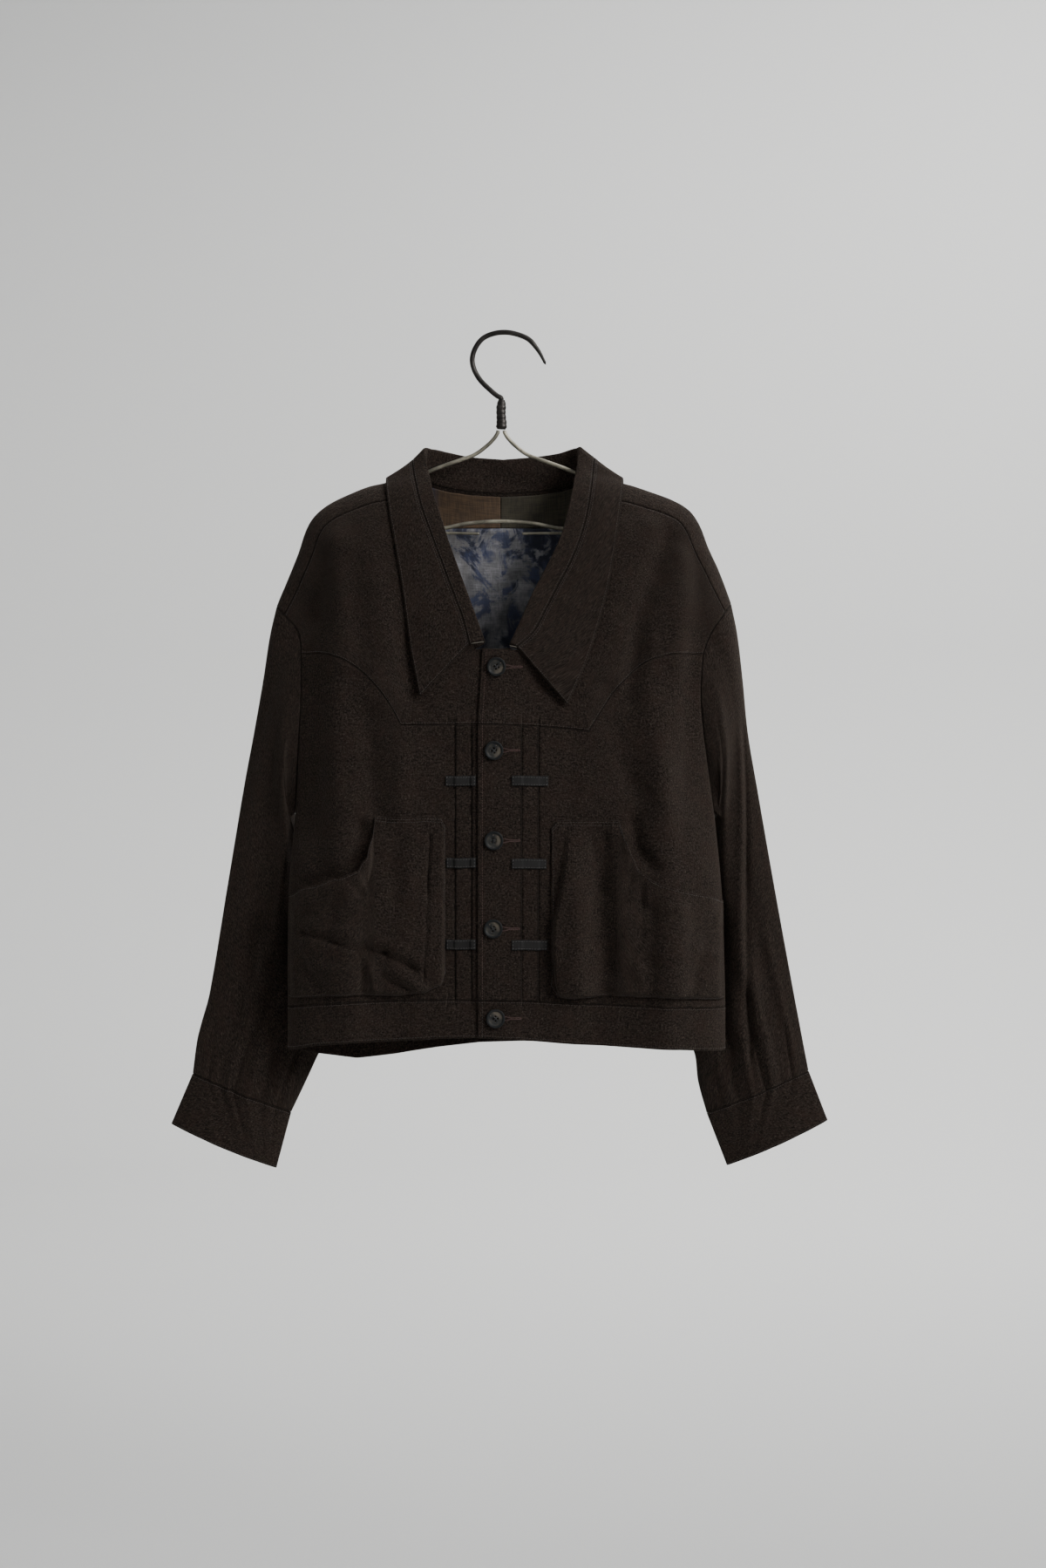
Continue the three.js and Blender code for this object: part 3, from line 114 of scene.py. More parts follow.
OUTLINE = {
    "right": table(
        "x z", (-98, -146), (-115, -152), (-133, -158.5), (-150, -162.3), (-163.7, -167.4),
        (-191.6, -180.4), (-208.3, -193.4), (-217.6, -208.3), (-226, -233.4), (-237.2, -261.3),
        (-249.2, -290.1)),
    "left": table(
        "x z", (82, -146), (99, -152), (117, -158.5), (130, -162), (143.2, -166.5),
        (171.1, -176.7), (189.7, -187.8), (200.9, -203.7), (210.2, -227.8), (221.3, -252),
        (234.4, -287.4)),
}
SLEEVE_NAMES = "ox oy oz ix iy iz half"
SLEEVE = {
    "right": table(
        SLEEVE_NAMES,
        (-249.2, 0, -290.1, -229, 2, -508, 24), (-256.5, 4, -322, -241.5, 13, -522, 26),
        (-264.1, 8, -368, -235, 25, -548, 26), (-274.5, 11, -424, -216, 32, -582, 24.5),
        (-285.4, 14, -480, -198, 35, -622, 22), (-304.6, 18, -592, -187, 36, -690, 18.5),
        (-323.7, 20, -705, -199, 35, -750, 16), (-332.5, 20, -737, -211, 33, -775, 16),
        (-337, 19, -756, -221, 31, -797, 17), (-341.5, 18, -791, -238, 27, -833, 14)),
    "left": table(
        SLEEVE_NAMES,
        (234.4, 0, -287.4, 216, 2, -508, 24), (241, 4, -320, 228.5, 13, -522, 24),
        (247.2, 8, -368, 222, 25, -548, 23), (253.3, 12, -424, 203, 32, -582, 21),
        (263, 14, -480, 184, 35, -622, 19), (283, 18, -592, 176, 36, -690, 17),
        (303.8, 20, -705, 191, 35, -750, 16), (309.5, 20, -735, 200, 33, -773, 16),
        (313.5, 19, -757, 203, 31, -800, 17), (319.4, 18, -788, 212, 27, -834, 14)),
}
CUFF_END = {"right": (-364.6, 18, -845.3, -254, 26, -893.5, 15),
            "left": (340, 18, -841.5, 233.9, 26, -890.7, 15)}
ARMHOLE_YOKE = {
    "right": table("x z", (-240, -300), (-235.7, -305), (-226.8, -316), (-222.7, -328),
                   (-221.6, -342)),
    "left": table("x z", (227, -297), (223, -303), (214.5, -315), (208, -328), (203.4, -342)),
}
ARMHOLE_FRONT = {
    "right": table("x z", (-221.6, -342), (-222, -378), (-224, -415), (-226.5, -461),
                   (-229, -508)),
    "left": table("x z", (203.4, -342), (201, -378), (203, -415), (209.5, -461), (216, -508)),
}
ARMHOLE_BACK = {
    "right": table("x z", (-249.2, -290.1), (-239, -303), (-229, -320), (-220, -347),
                   (-216, -382), (-216, -422), (-220, -464), (-229, -508)),
    "left": table("x z", (234.4, -287.4), (225, -301), (215, -318), (206, -345), (201, -382),
                  (201, -422), (206.5, -464), (216, -508)),
}
SIDE_SEAM = {
    "right": table("x z", (-229, -508), (-233.5, -555), (-236.6, -600), (-237.4, -660),
                   (-237.2, -716)),
    "left": table("x z", (216, -508), (221, -555), (224.8, -600), (227, -660), (228.1, -716)),
}
YOKE_CURVE = {
    "right": table("x z", (-114.9, -418), (-128.6, -393.1), (-142.4, -374.7), (-156.2, -361),
                   (-174.6, -349.5), (-196, -342.5), (-221.6, -342)),
    "left": table("x z", (81.5, -424), (95, -402), (109, -381.1), (127.3, -362.7),
                  (145.7, -350), (168.7, -343.5), (203.4, -342)),
}
WAIST = table(
    "x seam hem back",
    (-237.2, -716, -761.6, -761.6), (-205, -711, -754.5, -768), (-165, -707.5, -750.5, -773.2),
    (-124, -706, -749.2, -770), (-78, -705.5, -746.5, -763.5), (-34, -705.5, -745.3, -758.5),
    (13, -706, -748, -757), (68, -709.4, -752.7, -759), (123, -711.4, -755.8, -761),
    (178, -713.5, -758.3, -762), (228.6, -716, -762.6, -762.6))
DEPTH = table(
    "z front back", (-146, 42, 30), (-300, 44, 31), (-420, 45, 31), (-540, 47, 30),
    (-650, 49, 29), (-706, 46, 31), (-765, 44, 30))
COLLAR_NAMES = "neckX neckZ rollX rollY rollZ seamX seamY seamZ edgeX edgeY edgeZ"
COLLAR = {
    "right": table(
        COLLAR_NAMES,
        (-37, -338, -27.2, -47, -331, -43.5, -48, -333, -95.3, -50, -388),
        (-47, -309, -37.2, -46, -302.6, -50, -48, -306.5, -104.6, -48, -341.3),
        (-60, -272, -50.1, -44, -267.7, -61, -47, -277, -109.5, -46, -306),
        (-75, -230, -65.8, -39, -225, -74, -44, -242, -114, -44, -271.5),
        (-84, -203, -74.5, -33, -198, -83, -38, -218, -121.8, -38, -226.8),
        (-95, -172, -83.5, -24, -168, -95.7, -28, -181.4, -129, -26, -187.5),
        (-98, -146, -91.9, -3, -125.5, -104.5, -4, -137, -132.8, -3, -153.5),
        (-91, -155, -83.1, 11, -121.4, -97, 22, -133, -122, 30, -168),
        (-70, -161, -66.7, 20, -123.5, -76, 33, -137, -92, 40, -188),
        (-44, -165, -43.4, 28, -127.1, -46, 40, -142, -52, 45, -197),
        (-8.6, -167, -8.6, 31, -129.4, -8.6, 43, -145, -8.6, 47, -200)),
    "left": table(
        COLLAR_NAMES,
        (8, -339, -0.7, -49, -333.7, 6.5, -50, -336, 59.5, -54, -397),
        (21, -312, 12, -48, -306, 24, -50, -320, 79, -51, -353),
        (34, -283, 24, -46, -279, 36.5, -48, -297, 91, -49, -317),
        (48, -254, 38, -42, -252, 50, -46, -271, 101, -46, -280),
        (62, -222, 53, -36, -220, 66, -40, -240, 108, -40, -243),
        (77, -174, 64, -26, -178, 80, -30, -197, 115, -28, -196),
        (82, -146, 73, -3, -126, 88.5, -4, -136, 119.8, -3, -154),
        (75, -155, 69, 11, -120.3, 84, 22, -133, 108, 30, -168),
        (55, -161, 50.5, 20, -124.5, 60, 33, -137, 76, 40, -188),
        (28, -165, 24.3, 28, -127.1, 28, 40, -142, 34, 45, -197),
        (-8.6, -167, -8.6, 31, -129.4, -8.6, 43, -145, -8.6, 47, -200)),
}
SHOULDER_STATION, RIDGE_STATION, BACK_STATION = 5, 6, 10

# Soft ridges (rise above 0) and troughs of the fronts, from (x0, z0) to (x1, z1).
FRONT_FOLDS = table(
    "x0 z0 x1 z1 width rise",
    (-200, -240, -204, -300, 12, -7), (-222, -290, -226, -520, 25, -20),
    (204, -330, 212, -500, 24, -13), (-181, -222, -176, -350, 14, 6),
    (-186, -380, -184, -560, 14, 3.4), (-109, -320, -103, -388, 13, -6),
    (-146, -270, -136, -385, 16, 4), (165, -222, 134, -311, 12, -8),
    (134, -311, 124, -390, 12, -8), (179, -240, 177, -350, 13, 6),
    (196, -240, 199, -300, 8, -3.5), (104, -380, 122, -478, 12, -4),
    (-150, -640, -140, -640, 70, 5), (100, -650, 140, -630, 66, 5),
    (-169, -500, -169, -765, 17, 5), (163, -460, 163, -765, 18, 6),
    (92, -560, 94, -765, 24, -6.0), (-198, -380, -202, -560, 12, -3.4),
    (-150, -410, -142, -505, 11, -4), (-118, -430, -112, -510, 12, 4),
    (190, -350, 184, -480, 10, -4.4), (150, -400, 162, -500, 15, 5),
    (128, -470, 134, -560, 12, -3.0), (70, -430, 62, -505, 10, -1.6),
    (150, -210, 100, -300, 12, 3.0), (-150, -215, -126, -330, 12, 2.6),
    (-92, -400, -80, -440, 8, -1.4), (84, -395, 72, -430, 8, 1.5),
    (-157, -526, -163, -556, 8, -7), (-163, -556, -182, -576, 8, -7),
    (-182, -576, -212, -586, 8, -6), (128, -522, 134, -548, 8, -5), (134, -548, 150, -569, 8, -5),
    (-60, -720, -52, -760, 14, 1.6), (20, -716, 30, -758, 16, -1.6),
    (-120, -716, -112, -760, 12, -1.8), (126, -720, 122, -760, 14, -1.6))
BACK_FOLDS = table(
    "x0 z0 x1 z1 width rise",
    (-150, -230, -168, -420, 12, -2.4), (-120, -260, -132, -480, 14, 2.0),
    (138, -235, 150, -430, 11, -2.6), (108, -300, 118, -500, 13, 1.8),
    (-40, -480, -52, -690, 12, -1.5), (30, -500, 42, -700, 13, 1.6),
    (-92, -560, -100, -710, 10, 1.4), (84, -590, 96, -712, 9, -1.4),
    (-8, -220, -8, -330, 16, -1.0))
SLEEVE_FOLDS = {
    side: table("across0 down0 across1 down1 width rise", *own, (0.3, 0.84, 0.28, 0.97, 0.04, -4),
                (0.66, 0.86, 0.7, 0.97, 0.045, -4), (0.14, 0.88, 0.16, 0.99, 0.022, -3),
                (0.44, 0.87, 0.43, 0.99, 0.02, -3.4), (0.55, 0.88, 0.56, 0.99, 0.022, 3),
                (0.83, 0.88, 0.85, 0.99, 0.02, -3), (0.36, 0.9, 0.36, 1.0, 0.018, 2.4))
    for side, own in (
        ("right", ((0.56, 0.13, 0.46, 0.6, 0.05, 5), (0.92, 0.2, 0.62, 0.38, 0.065, -13),
                   (0.62, 0.38, 0.61, 0.56, 0.065, -13), (0.61, 0.56, 0.7, 0.72, 0.05, -7),
                   (0.7, 0.72, 0.83, 0.86, 0.04, -4),
                   (0.3, 0.2, 0.26, 0.86, 0.09, -4), (0.12, 0.3, 0.16, 0.8, 0.06, 3),
                   (0.62, 0.6, 0.4, 0.92, 0.06, -4.5), (0.4, 0.66, 0.3, 0.9, 0.05, 3.6),
                   (0.5, 0.08, 0.72, 0.3, 0.035, -3), (0.2, 0.62, 0.4, 0.76, 0.03, -2.4),
                   (0.78, 0.7, 0.6, 0.88, 0.04, 2.6), (0.05, 0.9, 0.3, 0.94, 0.025, -2.6))),
        ("left", ((0.06, 0.26, 0.5, 0.9, 0.03, -7), (0.12, 0.26, 0.4, 0.7, 0.05, 6),
                  (0.88, 0.2, 0.54, 0.38, 0.07, -16), (0.54, 0.38, 0.53, 0.56, 0.07, -16),
                  (0.53, 0.56, 0.62, 0.72, 0.065, -13), (0.62, 0.72, 0.75, 0.86, 0.06, -8),
                  (0.4, 0.1, 0.5, 0.5, 0.06, 3.4), (0.24, 0.5, 0.2, 0.9, 0.07, -3.6),
                  (0.36, 0.74, 0.3, 0.95, 0.05, 4),
                  (0.8, 0.6, 0.66, 0.86, 0.05, -3.4), (0.5, 0.08, 0.72, 0.26, 0.03, -2.6),
                  (0.14, 0.7, 0.1, 0.96, 0.035, 2.6), (0.7, 0.74, 0.82, 0.9, 0.03, 2.4))))}

POCKET = {
    "right": table(
        "x top bottom", (-68.5, -524, -676), (-73, -515, -690), (-90, -513.5, -698),
        (-115, -513.7, -700), (-141.9, -514, -700), (-144.5, -536, -700), (-150, -556, -700),
        (-160, -571, -700), (-174, -581, -701), (-186, -586, -702), (-197, -589.5, -702.5),
        (-207, -591.7, -703.3), (-216, -593.4, -704), (-223, -595, -705), (-229, -596.2, -705.5),
        (-233, -597, -706)),
    "left": table(
        "x top bottom", (42.5, -525.4, -690), (49.4, -518, -702), (66, -517.2, -704),
        (90, -517.2, -702), (113.2, -517.2, -701), (117.5, -534.5, -701), (124.2, -554.6, -701),
        (133.3, -571, -702), (149.8, -582, -702), (164, -587.6, -703), (177, -591.5, -704),
        (189, -594.5, -705), (199, -596.5, -706), (207, -598.5, -706.4), (214, -600.4, -706.7),
        (219, -602, -706.9), (223, -603, -707)),
}
POCKET_EASE = 0.7
POCKET_FOLDS = {
    "right": table(
        "x0 z0 x1 z1 width rise",
        (-213, -637, -170, -648, 3.2, -3.4), (-170, -648, -130, -655, 3.2, -4.2),
        (-205, -628, -132, -644, 7, 2.2), (-130, -655, -101, -672, 3.2, -4.4),
        (-126, -644, -94, -664, 6, 3.2), (-134, -676, -128, -684, 3, -3.6),
        (-128, -684, -113, -690, 3, -4.0), (-113, -690, -92, -699, 3, -3.4),
        (-120, -672, -98, -688, 5.5, 4.2), (-148, -668, -140, -698, 5, 2.6),
        (-156, -664, -156, -698, 5, -2.4), (-84.3, -534, -90.5, -684, 1.9, -3.4),
        (-176, -581, -166, -592, 2.6, 1.8), (-170, -578, -158, -596, 2.4, -1.8),
        (-163, -574, -152, -592, 2.6, 1.8), (-182, -584, -176, -598, 2.6, -1.6),
        (-180, -600, -184, -632, 6, -1.8), (-196, -668, -170, -676, 8, 2.0),
        (-226, -650, -196, -696, 8, -2.2), (-122, -536, -118, -620, 10, -1.6),
        (-104, -540, -108, -640, 9, 1.6), (-78, -660, -76, -700, 4, 1.2)),
    "left": table(
        "x0 z0 x1 z1 width rise",
        (92, -530, 99, -696, 13, -7.5), (64, -560, 68, -690, 10, 4.5),
        (116, -570, 120, -660, 10, 2.8), (138, -580, 138, -640, 3, -1.8),
        (150, -600, 148, -700, 9, -3.2), (170, -605, 166, -700, 15, 5),
        (170, -634, 222, -630, 4, -1.8), (190, -650, 214, -660, 7, 1.6),
        (128, -576, 120, -600, 3.5, -2.0), (146, -584, 146, -606, 3, 1.8),
        (156, -588, 158, -606, 3, -1.6), (132, -660, 138, -690, 5, 2.0),
        (58, -680, 84, -698, 6, 2.4), (200, -640, 190, -690, 6, -1.6),
        (60, -530, 100, -534, 5, -0.9), (108, -680, 122, -700, 6, -1.8))}
# Lines on the pockets along which the wool gets a line of painted shade.
POCKET_CREASES = {
    "right": ((-84.3, -536, -90.5, -690), (-205, -639, -170, -648), (-170, -648, -102, -671)),
    "left": ((62.6, -534, 59, -560), (59, -560, 48.6, -608), (48.6, -608, 43.5, -636),
             (43.5, -636, 46.4, -674), (46.4, -674, 53, -702))}
TABS = {
    "right": table("inner outer z", (-36.2, -68.1, -476.2), (-36.2, -67.4, -562),
                   (-36.2, -67.4, -647)),
    "left": table("inner outer z", (1.2, 39.5, -476.2), (1.2, 37.6, -562.8),
                  (1.2, 38.5, -647.6)),
}
TAB_HEIGHT = 10.6
BUTTONS = table("x z", (-14.8, -356.7), (-17.5, -444.3), (-17.5, -538.6), (-18, -630.6),
                (-16.1, -725))
HOOK_LINE = table(
    "x z", (-10.2, -69), (-10.5, -67.2), (-14.9, -64.6), (-21.9, -58.8), (-32.5, -48.3),
    (-39.1, -36.9), (-41.2, -25.5), (-37.6, -13.4), (-29.8, -3.6), (-18.1, 1.6), (-5, 2.9),
    (8.4, 0.3), (19.5, -4.9), (27.4, -13.9), (32.2, -21.4), (37.3, -31.6))
ARM_LINE = table(
    "out z", (3.4, -102.2), (3.8, -104.4), (7.2, -110), (15, -118), (28, -127.5), (45, -134),
    (60, -139.2), (81, -147.3), (98, -154.3), (125, -165.2), (150, -175), (170, -183.5),
    (183, -190.5), (189.5, -196.5), (191.5, -203), (188, -209), (178, -211.6), (160, -211.6),
    (125, -210.2), (90, -208.2), (62, -206.3), (35, -201.2), (0, -199))

# ---------------------------------------------------------------- settings


def length_property(name, description, default):
    return bpy.props.FloatProperty(
        name=name, description=description, default=default, unit="LENGTH", precision=5)


def colour_property(name, description, default):
    return bpy.props.FloatVectorProperty(
        name=name, description=description, default=default, size=3, subtype="COLOR",
        min=0, max=1)


class JacketSizes(bpy.types.PropertyGroup):
    """Sizes of the cloth and of its sewing."""

    cloth: length_property("Cloth", "Thickness of the outer cloth", 0.0017)
    lining: length_property("Lining", "Thickness of the lining and the neck facing", 0.0009)
    ribbon: length_property("Ribbon", "Thickness of the ribbon tabs", 0.0009)
    stitch: length_property("Stitch", "Length of one topstitch", 0.0021)
    stitch_pitch: length_property("Stitch pitch", "From one topstitch to the next", 0.0028)
    thread: length_property("Thread", "Diameter of the sewing thread", 0.00046)
    topstitch: length_property("Topstitch inset", "From an edge to its topstitching", 0.0016)
    button: length_property("Button", "Diameter of the front buttons", 0.02)
    fuzz: bpy.props.IntProperty(
        name="Fuzz", description="Loose fibres that stand off the wool", default=18000, min=0)


class JacketColours(bpy.types.PropertyGroup):
    """Colours of the cloths and of the hard pieces."""

    wool: colour_property("Wool", "Body of the wool", (0.0176, 0.0128, 0.0104))
    wool_light: colour_property("Wool flecks", "Pale fibres in the wool", (0.078, 0.064, 0.053))
    wool_red: colour_property("Wool russet", "Warm patches of the wool", (0.0265, 0.0158, 0.0122))
    wool_olive: colour_property("Wool olive", "Olive yarns in the wool", (0.0275, 0.0230, 0.0150))
    thread: colour_property("Thread", "Topstitching thread", (0.022, 0.0135, 0.0105))
    red_thread: colour_property("Red thread", "Buttonholes and the front edge",
                                (0.050, 0.017, 0.013))
    ribbon: colour_property("Ribbon", "Ribbon tabs", (0.0088, 0.0081, 0.0078))
    tab_thread: colour_property("Tab thread", "Stitches along the ribbon tabs",
                                (0.052, 0.048, 0.045))
    brown: colour_property("Brown facing", "Left part of the neck facing",
                           (0.058, 0.033, 0.0155))
    olive: colour_property("Olive facing", "Right part of the neck facing",
                           (0.031, 0.0255, 0.0145))
    print_ground: colour_property("Print ground", "Pale ground of the lining",
                                  (0.26, 0.255, 0.27))
    print_blue: colour_property("Print blue", "Blue blotches of the lining",
                                (0.035, 0.05, 0.13))
    print_navy: colour_property("Print navy", "Darkest blotches of the lining",
                                (0.012, 0.014, 0.03))
    print_grey: colour_property("Print grey", "Washed patches of the lining",
                                (0.14, 0.13, 0.12))
    print_thread: colour_property("Print thread", "Dark threads of the lining",
                                  (0.03, 0.03, 0.035))
    cream: colour_property("Cream", "Facing ends at the foot of the V", (0.15, 0.135, 0.11))
    button: colour_property("Button", "Dark face of the buttons", (0.0095, 0.0105, 0.0110))
    button_pale: colour_property("Button veins", "Pale veins of the buttons",
                                 (0.13, 0.112, 0.088))
    # Painted warm highlights in the buttons' dishes.
    button_warm: colour_property("Button copper", "Warm glints of the buttons",
                                 (0.42, 0.25, 0.16))
    hook: colour_property("Hook", "Blackened steel", (0.05, 0.045, 0.042))
    wire: colour_property("Wire", "Dull olive-brass wire", (0.34, 0.315, 0.25))


class JacketStage(bpy.types.PropertyGroup):
    """The room round the jacket, the lights and the camera."""

    floor: colour_property("Room", "Pale floor and wall", (0.64, 0.64, 0.63))
    floor_drop: length_property("Floor", "Height of the floor", -1.45)
    camera: bpy.props.FloatVectorProperty(
        name="Camera", description="Place of the camera", size=3, subtype="XYZ",
        unit="LENGTH", default=(0.013, -2.4, -0.4794))
    lens: bpy.props.FloatProperty(name="Lens", description="In millimetres", default=51.6)
    key: bpy.props.FloatProperty(name="Key light", description="In watts", default=17.0)
    fill: bpy.props.FloatProperty(name="Fill light", description="In watts", default=3.0)
    wall: bpy.props.FloatProperty(name="Wall light", description="In watts", default=185.0)
    air: bpy.props.FloatProperty(name="Air", description="Strength of the world", default=0.44)


# ---------------------------------------------------------------- curves


def even(count):
    return np.linspace(0, 1, count + 1)


def finer(steps, count):
    """The given steps with each gap cut into count even parts."""
    steps = np.asarray(steps, float)
    places = np.arange((len(steps) - 1) * count + 1) / count
    return np.interp(places, np.arange(len(steps)), steps)


def lerp(a, b, t):
    return a + (b - a) * t


def ease(low, high, value):
    t = np.clip((value - low) / (high - low), 0, 1)
    return t * t * (3 - 2 * t)


def dome(t):
    """A quarter round: 0 at the edge, rising steeply, 1 from a distance of one turn."""
    t = np.clip(t, 0, 1)
    return np.sqrt(t * (2 - t))


def bell(t):
    return np.exp(-t * t)


def lengths(points):
    """Length along a run of points, at each of them."""
    steps = np.linalg.norm(np.diff(points, axis=0), axis=1)
    return np.concatenate([[0], np.cumsum(steps)])


def fractions(points):
    at = lengths(points)
    return at / at[-1]


def curve_through(points, at=None):
    """A smooth curve through points of any dimension, run from 0 to 1."""
    points = np.asarray(points, float)
    at = lengths(points) if at is None else np.asarray(at, float)
    last = len(points) - 1
    low = np.maximum(np.arange(last + 1) - 1, 0)
    high = np.minimum(np.arange(last + 1) + 1, last)
    slope = (points[high] - points[low]) / (at[high] - at[low])[:, None]

    def place(t):
        s = np.clip(np.atleast_1d(t), 0, 1) * at[-1]
        i = np.clip(np.searchsorted(at, s) - 1, 0, last - 1)
        h = (at[i + 1] - at[i])[:, None]
        f = (s - at[i])[:, None] / h
        return (points[i] * (2 * f**3 - 3 * f**2 + 1) + slope[i] * h * (f**3 - 2 * f**2 + f)
                + points[i + 1] * (3 * f**2 - 2 * f**3) + slope[i + 1] * h * (f**3 - f**2))

    return place


def columns(rows, names):
    return np.stack([rows[name] for name in names.split()], 1)


def seam_curve(rows):
    return curve_through(columns(rows, "x z"))


def look_up(rows, key, value, want):
    x, y = rows[key], rows[want]
    return np.interp(value, x, y) if x[0] < x[-1] else np.interp(value, x[::-1], y[::-1])


def joined(*tables):
    """Tables that each start with the last row of the one before."""
    first, *rest = tables
    return {key: np.concatenate([first[key], *(t[key][1:] for t in rest)]) for key in first}


# ---------------------------------------------------------------- the body's surface


def dense_outline(side):
    """Ridge of the shoulder and the outer fold of the sleeve."""
    down = SLEEVE[side]
    points = np.concatenate([
        columns(OUTLINE[side], "x z"), np.stack([down["ox"][1:], down["oz"][1:]], 1)])
    return curve_through(points)(even(90))


OUTLINE_DENSE = np.concatenate([dense_outline("right")[::-1], dense_outline("left")])
SIDE_EDGE = {
    side: joined(ARMHOLE_YOKE[side], ARMHOLE_FRONT[side], SIDE_SEAM[side]) for side in SIDES}
BACK_EDGE = {side: joined(ARMHOLE_BACK[side], SIDE_SEAM[side]) for side in SIDES}


def inside_outline(x, z):
    """Distance inside the outline of the shoulders and sleeves, less than 0 outside it."""
    a, d = OUTLINE_DENSE[:-1], np.diff(OUTLINE_DENSE, axis=0)
    x, z = np.broadcast_arrays(np.asarray(x, float), np.asarray(z, float))
    flat = np.stack([x.ravel(), z.ravel()], 1)
    found = np.empty(len(flat))
    for start in range(0, len(flat), 5000):
        p = flat[start:start + 5000, None, :] - a
        t = np.clip((p * d).sum(2) / (d * d).sum(1), 0, 1)
        away = np.linalg.norm(p - t[..., None] * d, axis=2)
        best = away.argmin(1)
        row = np.arange(len(best))
        cross = d[best, 0] * p[row, best, 1] - d[best, 1] * p[row, best, 0]
        found[start:start + 5000] = np.where(cross > 0, -1, 1) * away[row, best]
    return found.reshape(x.shape)


def edge_at(edges, x, z):
    """x of a side edge at a height, on the side of the body where x is."""
    right, left = (look_up(edges[side], "z", z, "x") for side in SIDES)
    return np.where(x < CENTRE_X, right, left)


def inward(x, edge):
    return np.where(x < CENTRE_X, x - edge, edge - x)


def folds(rows, x, z, names):
    """Sum of soft folds, each a bell across its line. One that starts where the last ended
    goes on from it."""
    total, before = 0, None
    for *line, width, rise in columns(rows, names + " width rise"):
        total = total + rise * bell(line_away(x, z, *line) / width)
        if line[:2] == before:
            total = total - rise * bell(np.hypot(x - line[0], z - line[1]) / width)
        before = line[2:]
    return total


def ripple(x, z, seed, low, high, count=14):
    """Uneven waves with lengths between low and high, about 1 high at most."""
    draw = np.random.default_rng(seed)
    total = 0
    for _ in range(count):
        turn = draw.uniform(0, 2 * math.pi)
        number = 2 * math.pi / draw.uniform(low, high)
        phase = draw.uniform(0, 2 * math.pi)
        total = total + np.cos(number * (x * math.cos(turn) + z * math.sin(turn)) + phase)
    return total / math.sqrt(count)


def tuck_height(x, z, lines):
    held = ease(*TUCK_START, z) * (1 - ease(*TUCK_END, z))
    outwards = np.sign(lines[1] - lines[0])
    steps = [1 - np.clip(((x - line) * outwards + TUCK_RAMP) / (2 * TUCK_RAMP), 0, 1)
             for line in lines]
    return held * TUCK_STEP * sum(steps)


def plain_front(x, z):
    shoulder = dome(inside_outline(x, z) / FRONT_TURN)
    side = dome(inward(x, edge_at(SIDE_EDGE, x, z)) / FRONT_SIDE_TURN)
    hold = ease(UNDERARM, ARMHOLE_TOP, z)
    body = shoulder * (1 - (1 - hold) * (1 - side))
    drape = folds(FRONT_FOLDS, x, z, "x0 z0 x1 z1")
    drape = drape + 0.8 * ripple(x, z, 5, 50, 110) + 0.4 * ripple(x, z, 6, 20, 42)
    return -body * (look_up(DEPTH, "z", z, "front") + drape)


def front(side, x, z):
    """y of the front. The left one stands out where it laps over the right one."""
    lap = LAP * (1 - ease(LAP_FROM, LAP_TO, x)) if side == "left" else 0
    return plain_front(x, z) - tuck_height(x, z, TUCKS[side]) - lap


def back(x, z):
    shoulder = dome(inside_outline(x, z) / BACK_TURN)
    side = dome(inward(x, edge_at(BACK_EDGE, x, z)) / BACK_SIDE_TURN)
    hold = ease(UNDERARM, ARMHOLE_TOP, z)
    low = ease(*BACK_FLAT_Z, z) * ease(*BACK_FLAT_X, np.abs(x - CENTRE_X))
    depth = lerp(look_up(DEPTH, "z", z, "back"), BACK_SIDE_DEPTH, low)
    drape = folds(BACK_FOLDS, x, z, "x0 z0 x1 z1") + 0.5 * ripple(x, z, 7, 55, 120)
    return shoulder * (1 - (1 - hold) * (1 - side)) * (depth + drape * (1 - low * 0.7))


def clear_front(side, x, z, gap):
    """y of the front moved out by a gap, also over the ridge."""
    near = inside_outline(x, z) + gap
    depth = look_up(DEPTH, "z", z, "front")
    over = -(depth + gap) * dome(near / (FRONT_TURN + gap))
    surface = front(side, x, z) - gap
    y = np.where(near > FRONT_TURN, surface, np.minimum(over, surface))
    return np.where(near <= 0, np.inf, y)


def clear_back(x, z, gap):
    near = inside_outline(x, z) + gap
    over = (look_up(DEPTH, "z", z, "back") + gap) * dome(near / (BACK_TURN + gap))
    return np.where(near <= 0, -np.inf, np.maximum(over, back(x, z) + gap))


def height_normal(surface, x, z, towards=-1):
    """Outward normal of y = surface(x, z) that faces -Y (towards -1) or +Y."""
    step = 0.5
    slope_x = (surface(x + step, z) - surface(x - step, z)) / (2 * step)
    slope_z = (surface(x, z + step) - surface(x, z - step)) / (2 * step)
    length = np.sqrt(slope_x**2 + 1 + slope_z**2) * -towards
    return np.stack([slope_x / length, -1 / length, slope_z / length], -1)


def lifted(surface, x, z, height, towards=-1):
    x, z = np.broadcast_arrays(np.asarray(x, float), np.asarray(z, float))
    base = np.stack([x, surface(x, z), z], -1)
    return base + height_normal(surface, x, z, towards) * np.asarray(height)[..., None]


# ---------------------------------------------------------------- seams shared by the pieces

SIDE_STEPS = even(7 * FINE_SIDE)
ARMHOLE_FRONT_STEPS = even(6 * FINE_SIDE)
ARMHOLE_YOKE_STEPS = finer([0, 0.12, 0.32, 0.6, 0.82, 1], FINE_YOKE)
ARMHOLE_BACK_STEPS = finer([0, 0.02, 0.06, 0.13, 0.24, 0.4, 0.56, 0.7, 0.85, 1], FINE_SIDE)
STRIP_STEPS = finer([0, 0.12, 0.45, 1], FINE_STRIP)
CURVE_COLUMNS = 8 * FINE_ACROSS
BACK_NECK = finer([6, 6.12, 6.45, 7, 8, 9, 10], FINE_ACROSS)


